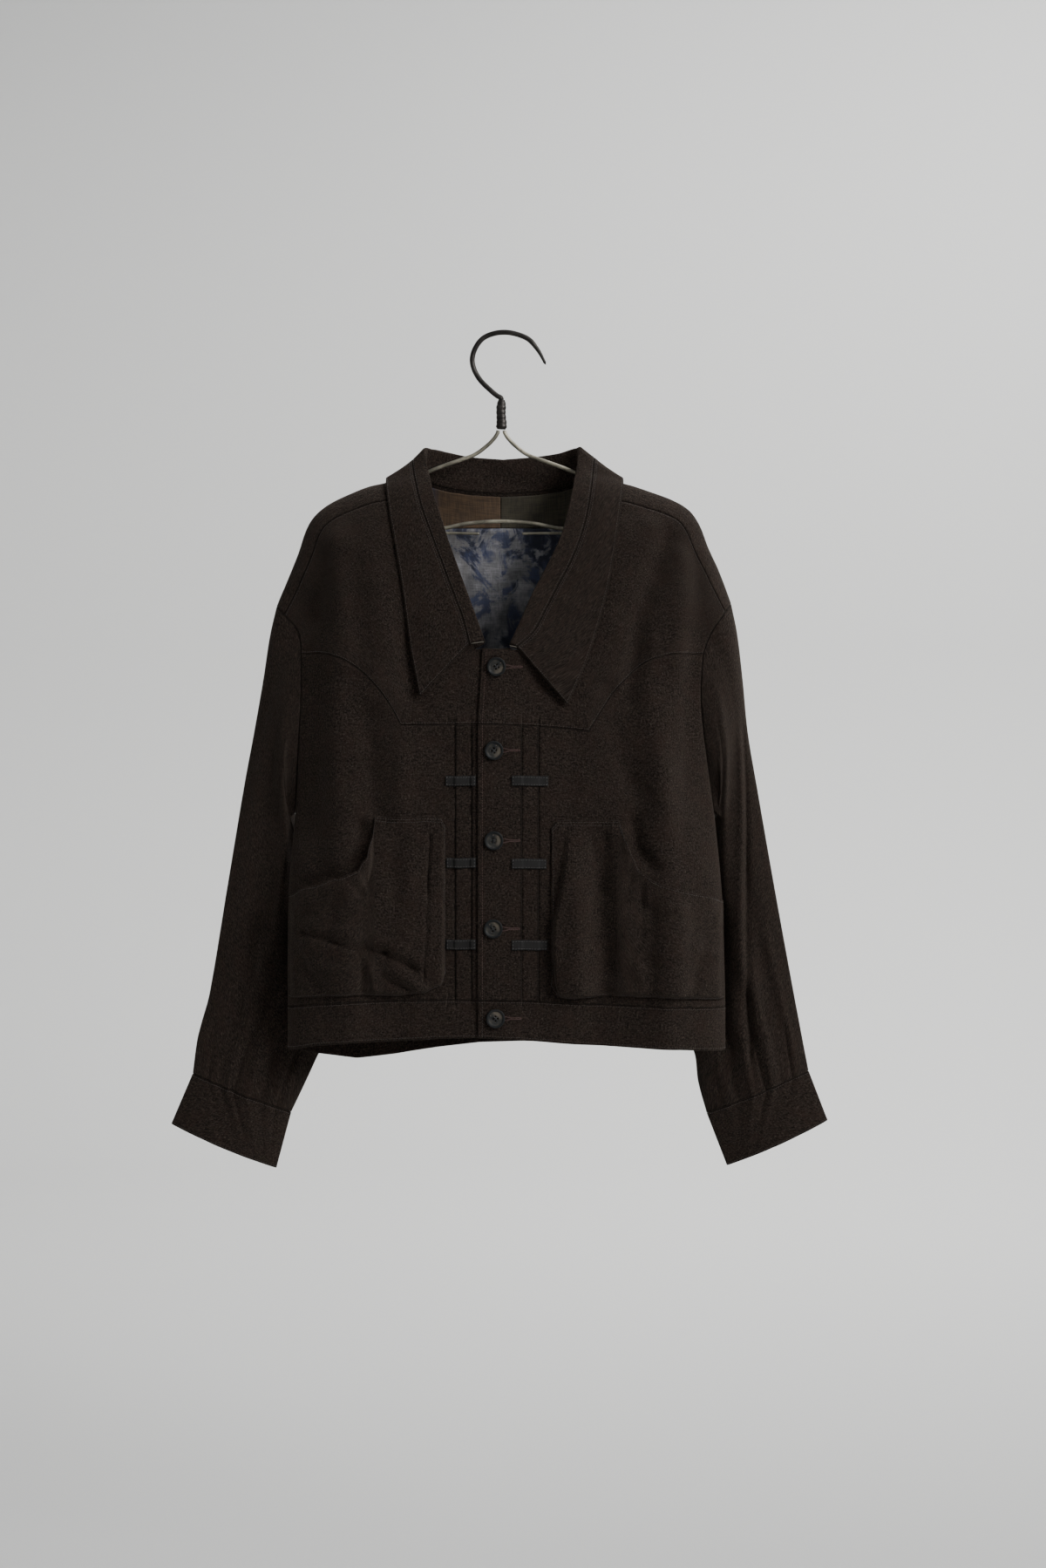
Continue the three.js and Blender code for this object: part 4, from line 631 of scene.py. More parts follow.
def inner_columns(side):
    """x of the panel columns from the front edge to the yoke's corner, close at each tuck."""
    sign = -1 if side == "right" else 1
    start = UNDER_EDGE if side == "right" else LAP_EDGE
    stops = [start]
    for line in TUCKS[side]:
        stops += [line - sign * TUCK_REACH, line - sign * TUCK_RAMP, line,
                  line + sign * TUCK_RAMP, line + sign * TUCK_REACH]
    stops.append(YOKE_CURVE[side]["x"][0])
    found = [np.array([start, start + sign * FIRST_COLUMN])]
    stops[0] = start + sign * FIRST_COLUMN
    for a, b in zip(stops, stops[1:]):
        found.append(np.linspace(a, b, max(1, math.ceil(abs(b - a) / COLUMN_WIDTH)) + 1)[1:])
    return np.concatenate(found)


INNER = {side: inner_columns(side) for side in SIDES}


def yoke_seam(side):
    rows = YOKE_CURVE[side]
    start, corner = INNER[side][0], rows["x"][0]
    along = (INNER[side] - start) / (corner - start)
    flat = np.stack([INNER[side], lerp(YOKE_AT_EDGE, rows["z"][0], along**2)], 1)
    return np.concatenate([flat, seam_curve(rows)(even(CURVE_COLUMNS))[1:]])


def waist_edge(side):
    start, end = INNER[side][-1], SIDE_SEAM[side]["x"][-1]
    outer = lerp(start, end, np.sin(even(CURVE_COLUMNS)[1:] * math.pi / 2))
    x = np.concatenate([INNER[side], outer])
    z = look_up(WAIST, "x", x, "seam")
    z[-1] = WAIST_AT_SIDE
    return np.stack([x, z], 1)


def neck_points(side, stations):
    stations = np.asarray(stations, float)
    index = np.arange(BACK_STATION + 1)
    x, z = (np.interp(stations, index, COLLAR[side][name]) for name in ("neckX", "neckZ"))
    y = np.where(stations < RIDGE_STATION, front(side, x, z),
                 np.where(stations > RIDGE_STATION, back(x, z), 0))
    return np.stack([x, y, z], 1)


def flat_of(points):
    return points[..., [0, 2]]


def spread(flat, y):
    """Points of the XZ plane moved to a depth."""
    return np.stack([flat[..., 0], y, flat[..., 1]], -1)


def ridge(side):
    return seam_curve(OUTLINE[side])(even(CURVE_COLUMNS))


def shoulder_seam(side):
    """The ridge moved forward, led into the neck seam and the armhole at its two ends."""
    points = ridge(side)
    ahead = np.gradient(points, axis=0)
    ahead /= np.linalg.norm(ahead, axis=1)[:, None]
    u = even(CURVE_COLUMNS)
    drop = SHOULDER_SEAM_DROP * lerp(1.15, 0.7, u)
    towards_body = 1 if side == "right" else -1
    seam = np.stack([points[:, 0] - towards_body * drop * ahead[:, 1],
                     points[:, 1] - np.abs(ahead[:, 0]) * drop], 1)
    neck = flat_of(neck_points(side, [SHOULDER_STATION]))[0]
    end = np.array([ARMHOLE_YOKE[side]["x"][0], ARMHOLE_YOKE[side]["z"][0]])
    lead = np.clip(1 - u * 8, 0, 1)[:, None]
    trail = np.clip(1 - (1 - u) * 8, 0, 1)[:, None]
    return seam + lead * (neck - seam[0]) + trail * (end - seam[-1])


def shoulder_strip(side):
    """Part of the back that comes over the ridge to the shoulder seam."""
    a, b = ridge(side), shoulder_seam(side)
    flat = a + (b - a) * STRIP_STEPS[:, None, None]
    y = front(side, flat[..., 0], flat[..., 1])
    y[0] = 0
    return spread(flat, y)


def sewn(surface, flat):
    """Points of a side edge on a surface, closed to the other side from the underarm down."""
    closed = flat[..., 1] <= UNDERARM + 0.01
    return spread(flat, np.where(closed, 0, surface(flat[..., 0], flat[..., 1])))


SEAMS = {"side": (SIDE_SEAM, SIDE_STEPS), "front": (ARMHOLE_FRONT, ARMHOLE_FRONT_STEPS),
         "yoke": (ARMHOLE_YOKE, ARMHOLE_YOKE_STEPS), "back": (ARMHOLE_BACK, ARMHOLE_BACK_STEPS)}


def seam(kind, side):
    """Points of the side seam, or of the front, yoke or back part of an armhole."""
    rows, steps = SEAMS[kind]
    return seam_curve(rows[side])(steps)


def panel_grid(bottom, top, first, last, surface, bend=None):
    """Straight columns from the bottom to the top edge, bent to the two end edges."""
    u = even(len(bottom) - 1) if bend is None else bend
    first_at, last_at = fractions(first), fractions(last)
    v = lerp(first_at[:, None], last_at[:, None], u[None, :])[..., None]
    flat = bottom[None] + (top - bottom)[None] * v
    bend_first = first - lerp(bottom[0], top[0], first_at[:, None])
    bend_last = last - lerp(bottom[-1], top[-1], last_at[:, None])
    flat = (flat + ((1 - u) ** 3)[None, :, None] * bend_first[:, None]
            + (u**3)[None, :, None] * bend_last[:, None])
    return spread(flat, surface(flat[..., 0], flat[..., 1]))


def bend_of(side):
    """How far each panel column is towards the side, the tucks' close columns counted as one."""
    inner = np.abs(INNER[side] - INNER[side][0])
    return np.concatenate([0.5 * inner / inner[-1], 0.5 + 0.5 * even(CURVE_COLUMNS)[1:]])


# ---------------------------------------------------------------- cut pieces as point grids


def lower_front(side):
    bottom, top = waist_edge(side), yoke_seam(side)
    outer = np.concatenate([seam("side", side)[::-1], seam("front", side)[::-1][1:]])
    inner = lerp(bottom[0], top[0], even(len(outer) - 1)[:, None])
    surface = partial(front, side)
    grid = panel_grid(bottom, top, inner, outer, surface, bend_of(side))
    grid[:, -1] = sewn(surface, outer)
    return grid


def front_yoke(side):
    bottom = yoke_seam(side)
    end = flat_of(neck_points(side, [0]))[0]
    top_x = LAP_EDGE_TOP if side == "left" else UNDER_EDGE
    share = np.abs(INNER[side] - INNER[side][0]) / abs(INNER[side][-1] - INNER[side][0])
    flat_share = 0.34             # of the top edge, from the button edge to the collar
    along_top = np.clip(share / flat_share, 0, 1)[:, None]
    flat = lerp(np.array([top_x, FRONT_TOP]), end, along_top)
    stations = np.clip((share - flat_share) / (1 - flat_share), 0, 1) * SHOULDER_STATION
    neck = flat_of(neck_points(side, stations))
    top = np.where((share <= flat_share)[:, None], flat, neck)
    top = np.concatenate([top, shoulder_seam(side)[1:]])
    outer = seam("yoke", side)[::-1]
    inner = lerp(bottom[0], top[0], even(len(outer) - 1)[:, None])
    return panel_grid(bottom, top, inner, outer, partial(front, side), bend_of(side))


@lru_cache
def back_panel():
    outer = {side: np.concatenate([seam("side", side)[::-1], seam("back", side)[::-1][1:]])
             for side in SIDES}
    neck = {side: flat_of(neck_points(side, BACK_NECK[1:-1])) for side in SIDES}
    middle = flat_of(neck_points("right", [BACK_STATION]))
    top = np.concatenate([ridge("right")[::-1], neck["right"], middle, neck["left"][::-1],
                          ridge("left")])
    half = (len(top) - 1) // 2
    ends = (SIDE_SEAM["right"]["x"][-1], SIDE_SEAM["left"]["x"][-1])
    t = even(2 * half)
    x = lerp(sum(ends) / 2, np.where(np.arange(len(t)) <= half, *ends),
             np.sin(np.abs(t - 0.5) * math.pi))
    near = np.clip(np.minimum(x - WAIST["x"][0], WAIST["x"][-1] - x) / 60, 0, 1)
    z = look_up(WAIST, "x", x, "back") + lerp(BAND_HEIGHT_SIDE, BAND_HEIGHT, near)
    z[[0, -1]] = WAIST_AT_SIDE
    grid = panel_grid(np.stack([x, z], 1), top, outer["right"], outer["left"], back)
    grid[:, 0], grid[:, -1] = (sewn(back, outer[side]) for side in SIDES)
    on_ridge = (np.arange(len(top)) <= CURVE_COLUMNS) | (
        np.arange(len(top)) >= 2 * half - CURVE_COLUMNS)
    grid[-1] = spread(top, np.where(on_ridge, 0, back(*top.T)))
    return grid


FRONT_RING_STEPS = 14         # the frame's own steps from the shoulder down to the underarm


@lru_cache
def armhole_ring(side):
    """The armhole as a closed run of points, where its underarm is, and the frame's own count
    of steps at each point."""
    strip = shoulder_strip(side)[:, -1]
    ahead = np.concatenate([seam("yoke", side), seam("front", side)[1:]])
    front_part = sewn(partial(front, side), ahead)
    back_part = sewn(back, seam("back", side)[::-1])
    back_part[-1] = strip[0]
    ring = np.concatenate([strip, front_part[1:], back_part[1:]])
    under = len(strip) + len(front_part) - 2
    step = np.concatenate([
        np.arange(len(strip)) / FINE_STRIP,
        3 + np.arange(1, len(ARMHOLE_YOKE_STEPS)) / FINE_YOKE,
        8 + np.arange(1, len(ARMHOLE_FRONT_STEPS)) / FINE_SIDE,
        FRONT_RING_STEPS + np.arange(1, len(ARMHOLE_BACK_STEPS)) / FINE_SIDE])
    return ring, under, step


def flat_ring(side, row, across, behind, down):
    """A flattened ring between an outer and an inner fold."""
    ox, oy, oz, ix, iy, iz, half = row
    bow = np.sin(math.pi * np.clip(across, 0, 1)) ** 0.8
    names = "across0 down0 across1 down1"
    crease = folds(SLEEVE_FOLDS[side], across, down, names)
    crease = crease + 0.5 * ripple(across * 190, down * 560, 11, 40, 90)
    rear = 0.55 * folds(SLEEVE_FOLDS[side], 1 - across, down, names)
    y = lerp(oy, iy, across) + np.where(behind, bow * (half + rear), -bow * (half + crease))
    return np.stack([lerp(ox, ix, across), y, lerp(oz, iz, across)], -1)


# Places of a sleeve's rows, closer near the armhole and the cuff.
SLEEVE_ROWS = np.concatenate([
    even(24)[:-1] * 0.12, 0.12 + even(76) * 0.76, 0.88 + even(20)[1:] * 0.12])
ARMHOLE_HOLD = 0.38           # the share of the sleeve that keeps something of the armhole


@lru_cache
def sleeve_grid(side):
    ring, under, _ = armhole_ring(side)
    front_at, back_at = fractions(ring[:under + 1]), fractions(ring[under:])
    behind = np.arange(len(ring)) > under
    run = np.concatenate([front_at[:-1], 1 - back_at])
    rows = curve_through(columns(SLEEVE[side], SLEEVE_NAMES))(SLEEVE_ROWS)
    first = SLEEVE[side]
    tip = np.array([first["ox"][0], 0, first["oz"][0]])
    low = np.array([first["ix"][0], 0, first["iz"][0]])
    chord = tip + (low - tip) * run[:, None]
    grid = []
    for t, row in zip(SLEEVE_ROWS, rows):
        hold = 1 if t == 0 else np.clip(1 - t / ARMHOLE_HOLD, 0, 1) ** 2
        across = lerp((1 - np.cos(math.pi * run)) / 2, run, hold)
        flat = flat_ring(side, row, across, behind, t)
        point = flat + hold * (ring - chord)
        point[:, 1] = lerp(flat[:, 1], ring[:, 1], hold)
        grid.append(point)
    return np.array(grid)


def cuff_grid(side):
    """The cuff, closed by a lap behind near the outer fold."""
    _, under, step = armhole_ring(side)
    top = sleeve_grid(side)[-1]
    count = len(top) - 1
    start = under + 5 * FINE_SIDE
    lapped = 3 * FINE_SIDE
    behind = np.arange(len(top)) > under
    rear = (step - FRONT_RING_STEPS) / (step[-1] - FRONT_RING_STEPS)
    across = np.where(behind, (1 + np.cos(math.pi * rear)) / 2,
                      (1 - np.cos(math.pi * step / FRONT_RING_STEPS)) / 2)
    lower = flat_ring(side, CUFF_END[side], across, behind, 2.0)
    order = np.arange(count + lapped + 1)
    j = (start + order) % count
    t = even(16)[:, None, None]
    grid = lerp(top[j][None], lower[j][None], t)
    grid[..., 1] += CUFF_LAP * ease(count - lapped, count, order)
    return grid


def waistband_grid():
    right, left, behind = waist_edge("right"), waist_edge("left"), back_panel()[0][1:-1]
    flat = np.concatenate([right, flat_of(behind), left[::-1]])
    kind = np.repeat([0, 1, 2], [len(right), len(behind), len(left)])
    low = np.where(kind == 1, look_up(WAIST, "x", flat[:, 0], "back"),
                   look_up(WAIST, "x", flat[:, 0], "hem"))
    z = lerp(flat[:, 1], low, even(18)[:, None])
    x = np.broadcast_to(flat[:, 0], z.shape)
    y = np.choose(np.broadcast_to(kind, z.shape),
                  [front("right", x, z), back(x, z), front("left", x, z)])
    y[:, [len(right) - 1, len(right) + len(behind)]] = 0
    return np.stack([x, y, z], -1)


# ---------------------------------------------------------------- collar

STATIONS = np.unique(np.concatenate([
    finer([0, 1, 2, 3, 4, 5], 11), RIDGE_STATION - STRIP_STEPS, BACK_NECK]))


@lru_cache
def collar_lines(side):
    """The neck seam, the roll, the strip's seam and the leaf's edge at every station."""
    neck = neck_points(side, STATIONS)
    index = np.arange(BACK_STATION + 1)
    smooth = curve_through(columns(COLLAR[side], COLLAR_NAMES), index)(STATIONS / BACK_STATION)
    roll, seam, edge = smooth[:, 2:5], smooth[:, 5:8], smooth[:, 8:11]
    over_front = STATIONS < SHOULDER_STATION + 0.6
    roll = np.where(over_front[:, None], cleared(side, roll, ROLL_CLEAR), roll)
    seam, edge = cleared(side, seam), cleared(side, edge)
    close = clear_front(side, edge[:, 0], edge[:, 2], LEAF_CLEAR)
    ahead = (STATIONS < SHOULDER_STATION) & np.isfinite(close)
    settled = ease(SHOULDER_STATION, 2, STATIONS) * 0.6
    edge[:, 1] = np.where(ahead, lerp(edge[:, 1], np.where(ahead, close, 0), settled),
                          edge[:, 1])
    return neck, roll, seam, edge


def cleared(side, points, gap=LEAF_CLEAR):
    """Points of the collar moved off the body where they would touch it."""
    x, y, z = points.T
    y = np.where(STATIONS < RIDGE_STATION, np.minimum(y, clear_front(side, x, z, gap)),
                 np.where(STATIONS > RIDGE_STATION, np.maximum(y, clear_back(x, z, gap)), y))
    return np.stack([x, y, z], 1)


def unit(vectors):
    return vectors / np.maximum(np.linalg.norm(vectors, axis=-1, keepdims=True), 1e-9)


def band_section(side):
    """From the neck seam up to the roll, round it and down to the strip's seam."""
    neck, roll, seam, _ = collar_lines(side)
    down = unit((neck + seam) / 2 - roll)
    out = seam - neck
    out = out - (out * down).sum(1, keepdims=True) * down
    weak = np.linalg.norm(out, axis=1) < 0.5
    out[weak] = np.array([0, -1, 0]) + down[weak] * down[weak, 1:2]
    out = unit(out)
    centre = roll + down * ROLL_RADIUS
    arc = [centre - out * ROLL_RADIUS * math.cos(math.pi * t)
           - down * ROLL_RADIUS * math.sin(math.pi * t) for t in even(10)]
    rise = [lerp(neck, arc[0], t) for t in even(8)[:-1]]
    fall = [cleared(side, lerp(arc[-1], seam, t), lerp(ROLL_CLEAR, LEAF_CLEAR, t))
            for t in even(6)[1:-1]]
    return np.stack([*rise, *arc, *fall, seam], 1)


ARC_TOP = 8 + 5                # the band's column at the top of the roll


def leaf_section(side):
    _, _, seam, edge = collar_lines(side)
    out = spread(np.zeros((len(STATIONS), 2)), np.sign(STATIONS - RIDGE_STATION))
    lines = []
    for t in even(22):
        line = lerp(seam, edge, t)
        line = line if t in (0, 1) else cleared(side, line)
        swell = 1.3 * math.sin(math.pi * min(1, t * 1.15)) if t * 1.15 < 1 else 0
        lines.append(line + out * swell)
    return np.stack(lines, 1)


def round_neck(section):
    """Both halves of a collar piece, joined at the middle of the back."""
    return np.concatenate([section("right"), section("left")[:-1][::-1]])


# ---------------------------------------------------------------- pieces that lie on a panel


def pocket_columns(side):
    rows = POCKET[side]
    index = np.arange(len(rows["x"]))
    fine = finer(index, 9)
    return tuple(np.interp(fine, index, rows[name]) for name in ("x", "top", "bottom"))


def pocket_form(side, x, z, top, rim):
    """How far a pocket's face stands off its seams. The right one has a pressed fold in front
    of its side strip, the left one bulges over it, and both gape at the hand opening."""
    if side == "right":
        slope = np.where(x > -87, 0.86, 1 - 0.5 * ease(0, 90, -87 - x))
        body = slope * lerp(3.0, 8.6, ease(-530, -680, z))
        gape = 7.5 * ease(-232, -212, x) * (1 - ease(-148, -142, x))
    else:
        fold = np.interp(-z, [515, 537, 608, 636, 674, 704], [64, 61.4, 51.2, 45.6, 48, 54])
        slope = np.where(x < fold, 0.06 + 0.94 * ease(fold - 3.2, fold, x),
                         1 - 0.5 * ease(0, 100, x - fold))
        body = slope * lerp(3.4, 9.6, ease(-520, -640, z))
        gape = 5.0 * ease(113, 120, x) * (1 - ease(204, 222, x))
    gape = gape * (1 - ease(0, 30, top - z))
    creases = folds(POCKET_FOLDS[side], x, z, "x0 z0 x1 z1")
    return (body + creases + 0.7 * ripple(x, z, 17 + len(side), 18, 50)) * rim + gape


def line_away(x, z, x0, z0, x1, z1):
    dx, dz = x1 - x0, z1 - z0
    t = np.clip(((x - x0) * dx + (z - z0) * dz) / (dx * dx + dz * dz), 0, 1)
    return np.hypot(x - x0 - t * dx, z - z0 - t * dz)


def pocket_grid(side):
    x, top, bottom = pocket_columns(side)
    steps = finer([0, 0.04, 0.12, 0.25, 0.45, 0.65, 0.82, 0.94, 1], 8)[:, None]
    z = lerp(top, bottom, steps)
    x = np.broadcast_to(x, z.shape)
    across = np.minimum(np.abs(x - x[0, 0]) / 5, np.abs(x[0, -1] - x) / 12)
    rim = ease(0, 1, np.minimum(across, (z - bottom) / 7 + 0.1))
    rim = np.minimum(rim, 0.35 + 0.65 * ease(0, 26, top - z))
    height = CAD_CLOTH + POCKET_EASE + pocket_form(side, x, z, top, rim)
    return lifted(partial(front, side), x, z, height)


def tab_grid(side, row):
    inner, outer, z = (TABS[side][name][row] for name in ("inner", "outer", "z"))
    x = np.linspace(inner, outer, 40)
    z = z + np.linspace(0.5, -0.5, 9)[:, None] * TAB_HEIGHT + 0.25 * np.sin(x / 7)
    height = (CAD_CLOTH + 0.9) / 2 + SEAM_GAP + 0.35
    over = np.minimum(front(side, x - 1.6, z), front(side, x + 1.6, z))
    return np.stack([np.broadcast_to(x, z.shape), over - height, z], -1)


FACING_BOTTOM, LINING_BOTTOM = -203, -430


def inside_grid(xs, top, bottom, rows):
    """A sheet that hangs just inside the back."""
    z = lerp(np.broadcast_to(top, xs.shape), np.broadcast_to(bottom, xs.shape),
             even(rows)[:, None])
    x = np.broadcast_to(xs, z.shape)
    off = (LINING + CAD_CLOTH) / 2 + SEAM_GAP + 0.9 + 0.5 * (1 + ripple(x, z, 23, 18, 45) / 2)
    return lifted(back, x, z, -off, 1)


def facing_top(x):
    right, left = COLLAR["right"], COLLAR["left"]
    neck_x = np.concatenate([right["neckX"][6:], left["neckX"][6:-1][::-1]])
    neck_z = np.concatenate([right["neckZ"][6:], left["neckZ"][6:-1][::-1]])
    return np.minimum(np.interp(x, neck_x, neck_z), -157) - 2.5


# ---------------------------------------------------------------- sheets into cloth


def key_of(points):
    return np.round(points * 50).astype(np.int64)


class Piece:
    """The merged sheet of one cut piece: points, faces with the cloth's own coordinates, and
    the grids of point numbers that stitching walks along."""

    def __init__(self, name, patches):
        self.name = name
        grids = [points for points, *_ in patches]
        flat = np.concatenate([g.reshape(-1, 3) for g in grids])
        _, first, inverse = np.unique(key_of(flat), axis=0, return_index=True,
                                      return_inverse=True)
        inverse = inverse.ravel()
        self.points = flat[first]
        self.grids, faces, corners = [], [], []
        start = 0
        for points, facing, at in patches:
            rows, width = points.shape[:2]
            ids = inverse[start:start + rows * width].reshape(rows, width)
            start += rows * width
            i, j = at or ((rows - 1) // 2, (width - 1) // 2)
            across, down = points[i, j + 1] - points[i, j], points[i + 1, j] - points[i, j]
            flip = np.dot(np.cross(across, down), facing) < 0
            self.grids.append(ids)
            u = np.zeros((rows, width))
            v = np.zeros((rows, width))
            u[:, 1:] = np.cumsum(np.linalg.norm(np.diff(points, axis=1), axis=2), axis=1)
            v[1:] = np.cumsum(np.linalg.norm(np.diff(points, axis=0), axis=2), axis=0)
            uv = np.stack([u, v], -1)
            cell = [(slice(0, -1), slice(0, -1)), (slice(0, -1), slice(1, None)),
                    (slice(1, None), slice(1, None)), (slice(1, None), slice(0, -1))]
            if flip:
                cell = cell[::-1]
            faces.append(np.stack([ids[c] for c in cell], -1).reshape(-1, 4))
            corners.append(np.stack([uv[c] for c in cell], 2).reshape(-1, 4, 2))
        self.faces = np.concatenate(faces)
        self.uv = np.concatenate(corners)
        whole = np.array([len(set(f)) == 4 for f in self.faces.tolist()])
        self.faces, self.uv = self.faces[whole], self.uv[whole]
        a = self.faces
        cross = np.cross(self.points[a[:, 2]] - self.points[a[:, 0]],
                         self.points[a[:, 3]] - self.points[a[:, 1]])
        self.sums = np.zeros_like(self.points)
        for k in range(4):
            np.add.at(self.sums, a[:, k], cross)
        edge_a, edge_b = a.ravel(), np.roll(a, -1, axis=1).ravel()
        count = len(self.points)
        alone = ~np.isin(edge_a * count + edge_b, edge_b * count + edge_a)
        self.open = np.stack([edge_a[alone], edge_b[alone]], 1)
        self.open_face = np.repeat(np.arange(len(a)), 4)[alone]
        self.normals = unit(self.sums)

    def share_normals(self, total):
        """Takes the summed normal where a neighbour has the same point."""
        self.normals = unit(np.array([total[tuple(k)] for k in key_of(self.points).tolist()]))

    def to_edge(self):
        """Distance of each point from the piece's open edges."""
        tree = KDTree(len(self.open))
        middle = (self.points[self.open[:, 0]] + self.points[self.open[:, 1]]) / 2
        for i, p in enumerate(middle):
            tree.insert(p, i)
        tree.balance()
        away = np.array([tree.find(p)[2] for p in self.points])
        away[np.unique(self.open)] = 0
        return away


def share_all(pieces):
    total = {}
    for piece in pieces:
        for key, value in zip(map(tuple, key_of(piece.points).tolist()), piece.sums):
            total[key] = total.get(key, 0) + value
    for piece in pieces:
        piece.share_normals(total)


@lru_cache
def shell_pieces():
    """Every piece of the outer cloth that is sewn to another."""
    def patch(points, facing, at=None):
        return points, np.array(facing, float), at

    patches = {
        "back": [patch(back_panel(), (0, 1, 0)), patch(shoulder_strip("right"), (0, -0.4, 1)),
                 patch(shoulder_strip("left"), (0, -0.4, 1))],
        "waistband": [patch(waistband_grid(), (0, 1, 0))],
        "collar_band": [patch(round_neck(band_section), (0, 0, 1),
                              (len(STATIONS) - 1, ARC_TOP))],
        "collar_leaf": [patch(round_neck(leaf_section), (0, 1, 0))],
    }
    for side in SIDES:
        _, under, _ = armhole_ring(side)
        patches[f"front_{side}"] = [patch(lower_front(side), (0, -1, 0))]
        patches[f"yoke_{side}"] = [patch(front_yoke(side), (0, -1, 0))]
        patches[f"sleeve_{side}"] = [patch(sleeve_grid(side), (0, -1, 0), (60, under // 2))]
        grid = cuff_grid(side)
        count = len(sleeve_grid(side)[0]) - 1
        middle = (under // 2 - under - 5 * FINE_SIDE) % count
        patches[f"cuff_{side}"] = [patch(grid, (0, -1, 0), (8, middle))]
    pieces = {name: Piece(name, found) for name, found in patches.items()}
    share_all(pieces.values())
    return pieces


def link(name, data):
    thing = bpy.data.objects.new(name, data)
    bpy.context.scene.collection.objects.link(thing)
    return thing


def mesh_of(name, points, faces, scale=MM):
    """A smooth mesh. Its points are in millimetres unless the scale says otherwise."""
    mesh = bpy.data.meshes.new(name)
    mesh.from_pydata((np.asarray(points).reshape(-1, 3) * scale).tolist(), [], faces)
    return smooth(mesh)


def smooth(mesh):
    mesh.polygons.foreach_set("use_smooth", np.ones(len(mesh.polygons), bool))
    mesh.update()
    return mesh


def circle(count):
    """Directions at even steps all round."""
    return 2 * math.pi * np.arange(count) / count


def tube_faces(rings, turns):
    """Faces of a tube of rings, then those that close its first and its last ring."""
    sides = [(i * turns + k, i * turns + (k + 1) % turns, (i + 1) * turns + (k + 1) % turns,
              (i + 1) * turns + k) for i in range(rings - 1) for k in range(turns)]
    last = (rings - 1) * turns
    return [*sides, tuple(range(turns))[::-1], tuple(range(last, last + turns))]


def crease_away(piece):
    """Distance of each point from the pressed creases of a front or a pocket."""
    x, _, z = piece.points.T
    kind, _, side = piece.name.partition("_")
    if kind == "front":
        away = np.min([np.abs(x - line) for line in TUCKS[side]], axis=0) - 0.5
        return away + 9 * (1 - ease(*TUCK_START, z) * (1 - ease(*TUCK_END, z)))
    if kind == "pocket":
        return np.min([line_away(x, z, *line) for line in POCKET_CREASES[side]], axis=0)
    return np.full(len(x), 99.0)


def cloth_mesh(piece, thickness):
    """Both faces of a piece with rounded rims. Its cloth coordinates are a UV map in metres,
    and the distance to the nearest edge is the attribute edge_mm."""
    half = thickness / 2
    points, n = piece.points, piece.normals
    draw = np.zeros_like(points)
    a, b = piece.open.T
    along = unit(points[b] - points[a])
    centre = points[piece.faces[piece.open_face]].mean(1)
    inwards = centre - points[a]
    inwards = unit(inwards - (inwards * along).sum(1, keepdims=True) * along)
    np.add.at(draw, a, inwards)
    np.add.at(draw, b, inwards)
    size = np.linalg.norm(draw, axis=1, keepdims=True)
    own = (n * unit(piece.sums)).sum(1, keepdims=True)
    reach = 1 / np.maximum(size / 2, 0.55) / np.clip(own, 0.62, 1) ** 1.5
    draw = np.where(size > 0, unit(draw) * reach, 0)
    rounding = min(0.5, half * 0.6)
    outer = points + draw * rounding + n * half
    inner = points + draw * rounding - n * half
    rim_ids = np.unique(piece.open)
    rim_at = np.full(len(points), -1)
    rim_at[rim_ids] = np.arange(len(rim_ids))
    rim = points[rim_ids]
    count = len(points)
    piece.outer = outer
    faces = [piece.faces, piece.faces[:, ::-1] + count,
             np.stack([b, a, rim_at[a] + 2 * count, rim_at[b] + 2 * count], 1),
             np.stack([rim_at[b] + 2 * count, rim_at[a] + 2 * count, a + count, b + count], 1)]
    by_point = np.zeros((count, 2))
    by_point[piece.faces.ravel()] = piece.uv.reshape(-1, 2)
    rim_uv = [by_point[np.stack([b, a, a, b], 1)]] * 2
    uv = np.concatenate([piece.uv, piece.uv[:, ::-1], *rim_uv]) * MM
    mesh = mesh_of(piece.name, np.concatenate([outer, inner, rim]),
                   np.concatenate(faces).tolist())
    mesh.uv_layers.new(name="cloth").data.foreach_set("uv", uv.ravel())
    # edge_mm holds the distance to the open edges and pressed creases, where the finishes paint
    # shade.
    away = np.minimum(piece.to_edge(), crease_away(piece))
    edge = mesh.attributes.new("edge_mm", "FLOAT", "POINT")
    edge.data.foreach_set("value", np.concatenate([away, away, np.zeros(len(rim_ids))]))
    return mesh


def place(thing, slot, *nodes):
    """A piece rides on the jacket and may stand for frame nodes, which it hides."""
    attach(thing, "root")
    if nodes:
        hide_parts(*nodes)
    return thing


def add_piece(name, mesh, finish, slot, *nodes):
    """A new piece with its finish, placed."""
    thing = link(name, mesh)
    mesh.materials.append(finish)
    return place(thing, slot, *nodes)


def cloth_piece(piece, thickness, finish, slot):
    mesh = cloth_mesh(piece, thickness / MM)
    thing = add_piece(f"cloth_{piece.name}", mesh, finish, slot, piece.name)
    return thing


# ---------------------------------------------------------------- sewing


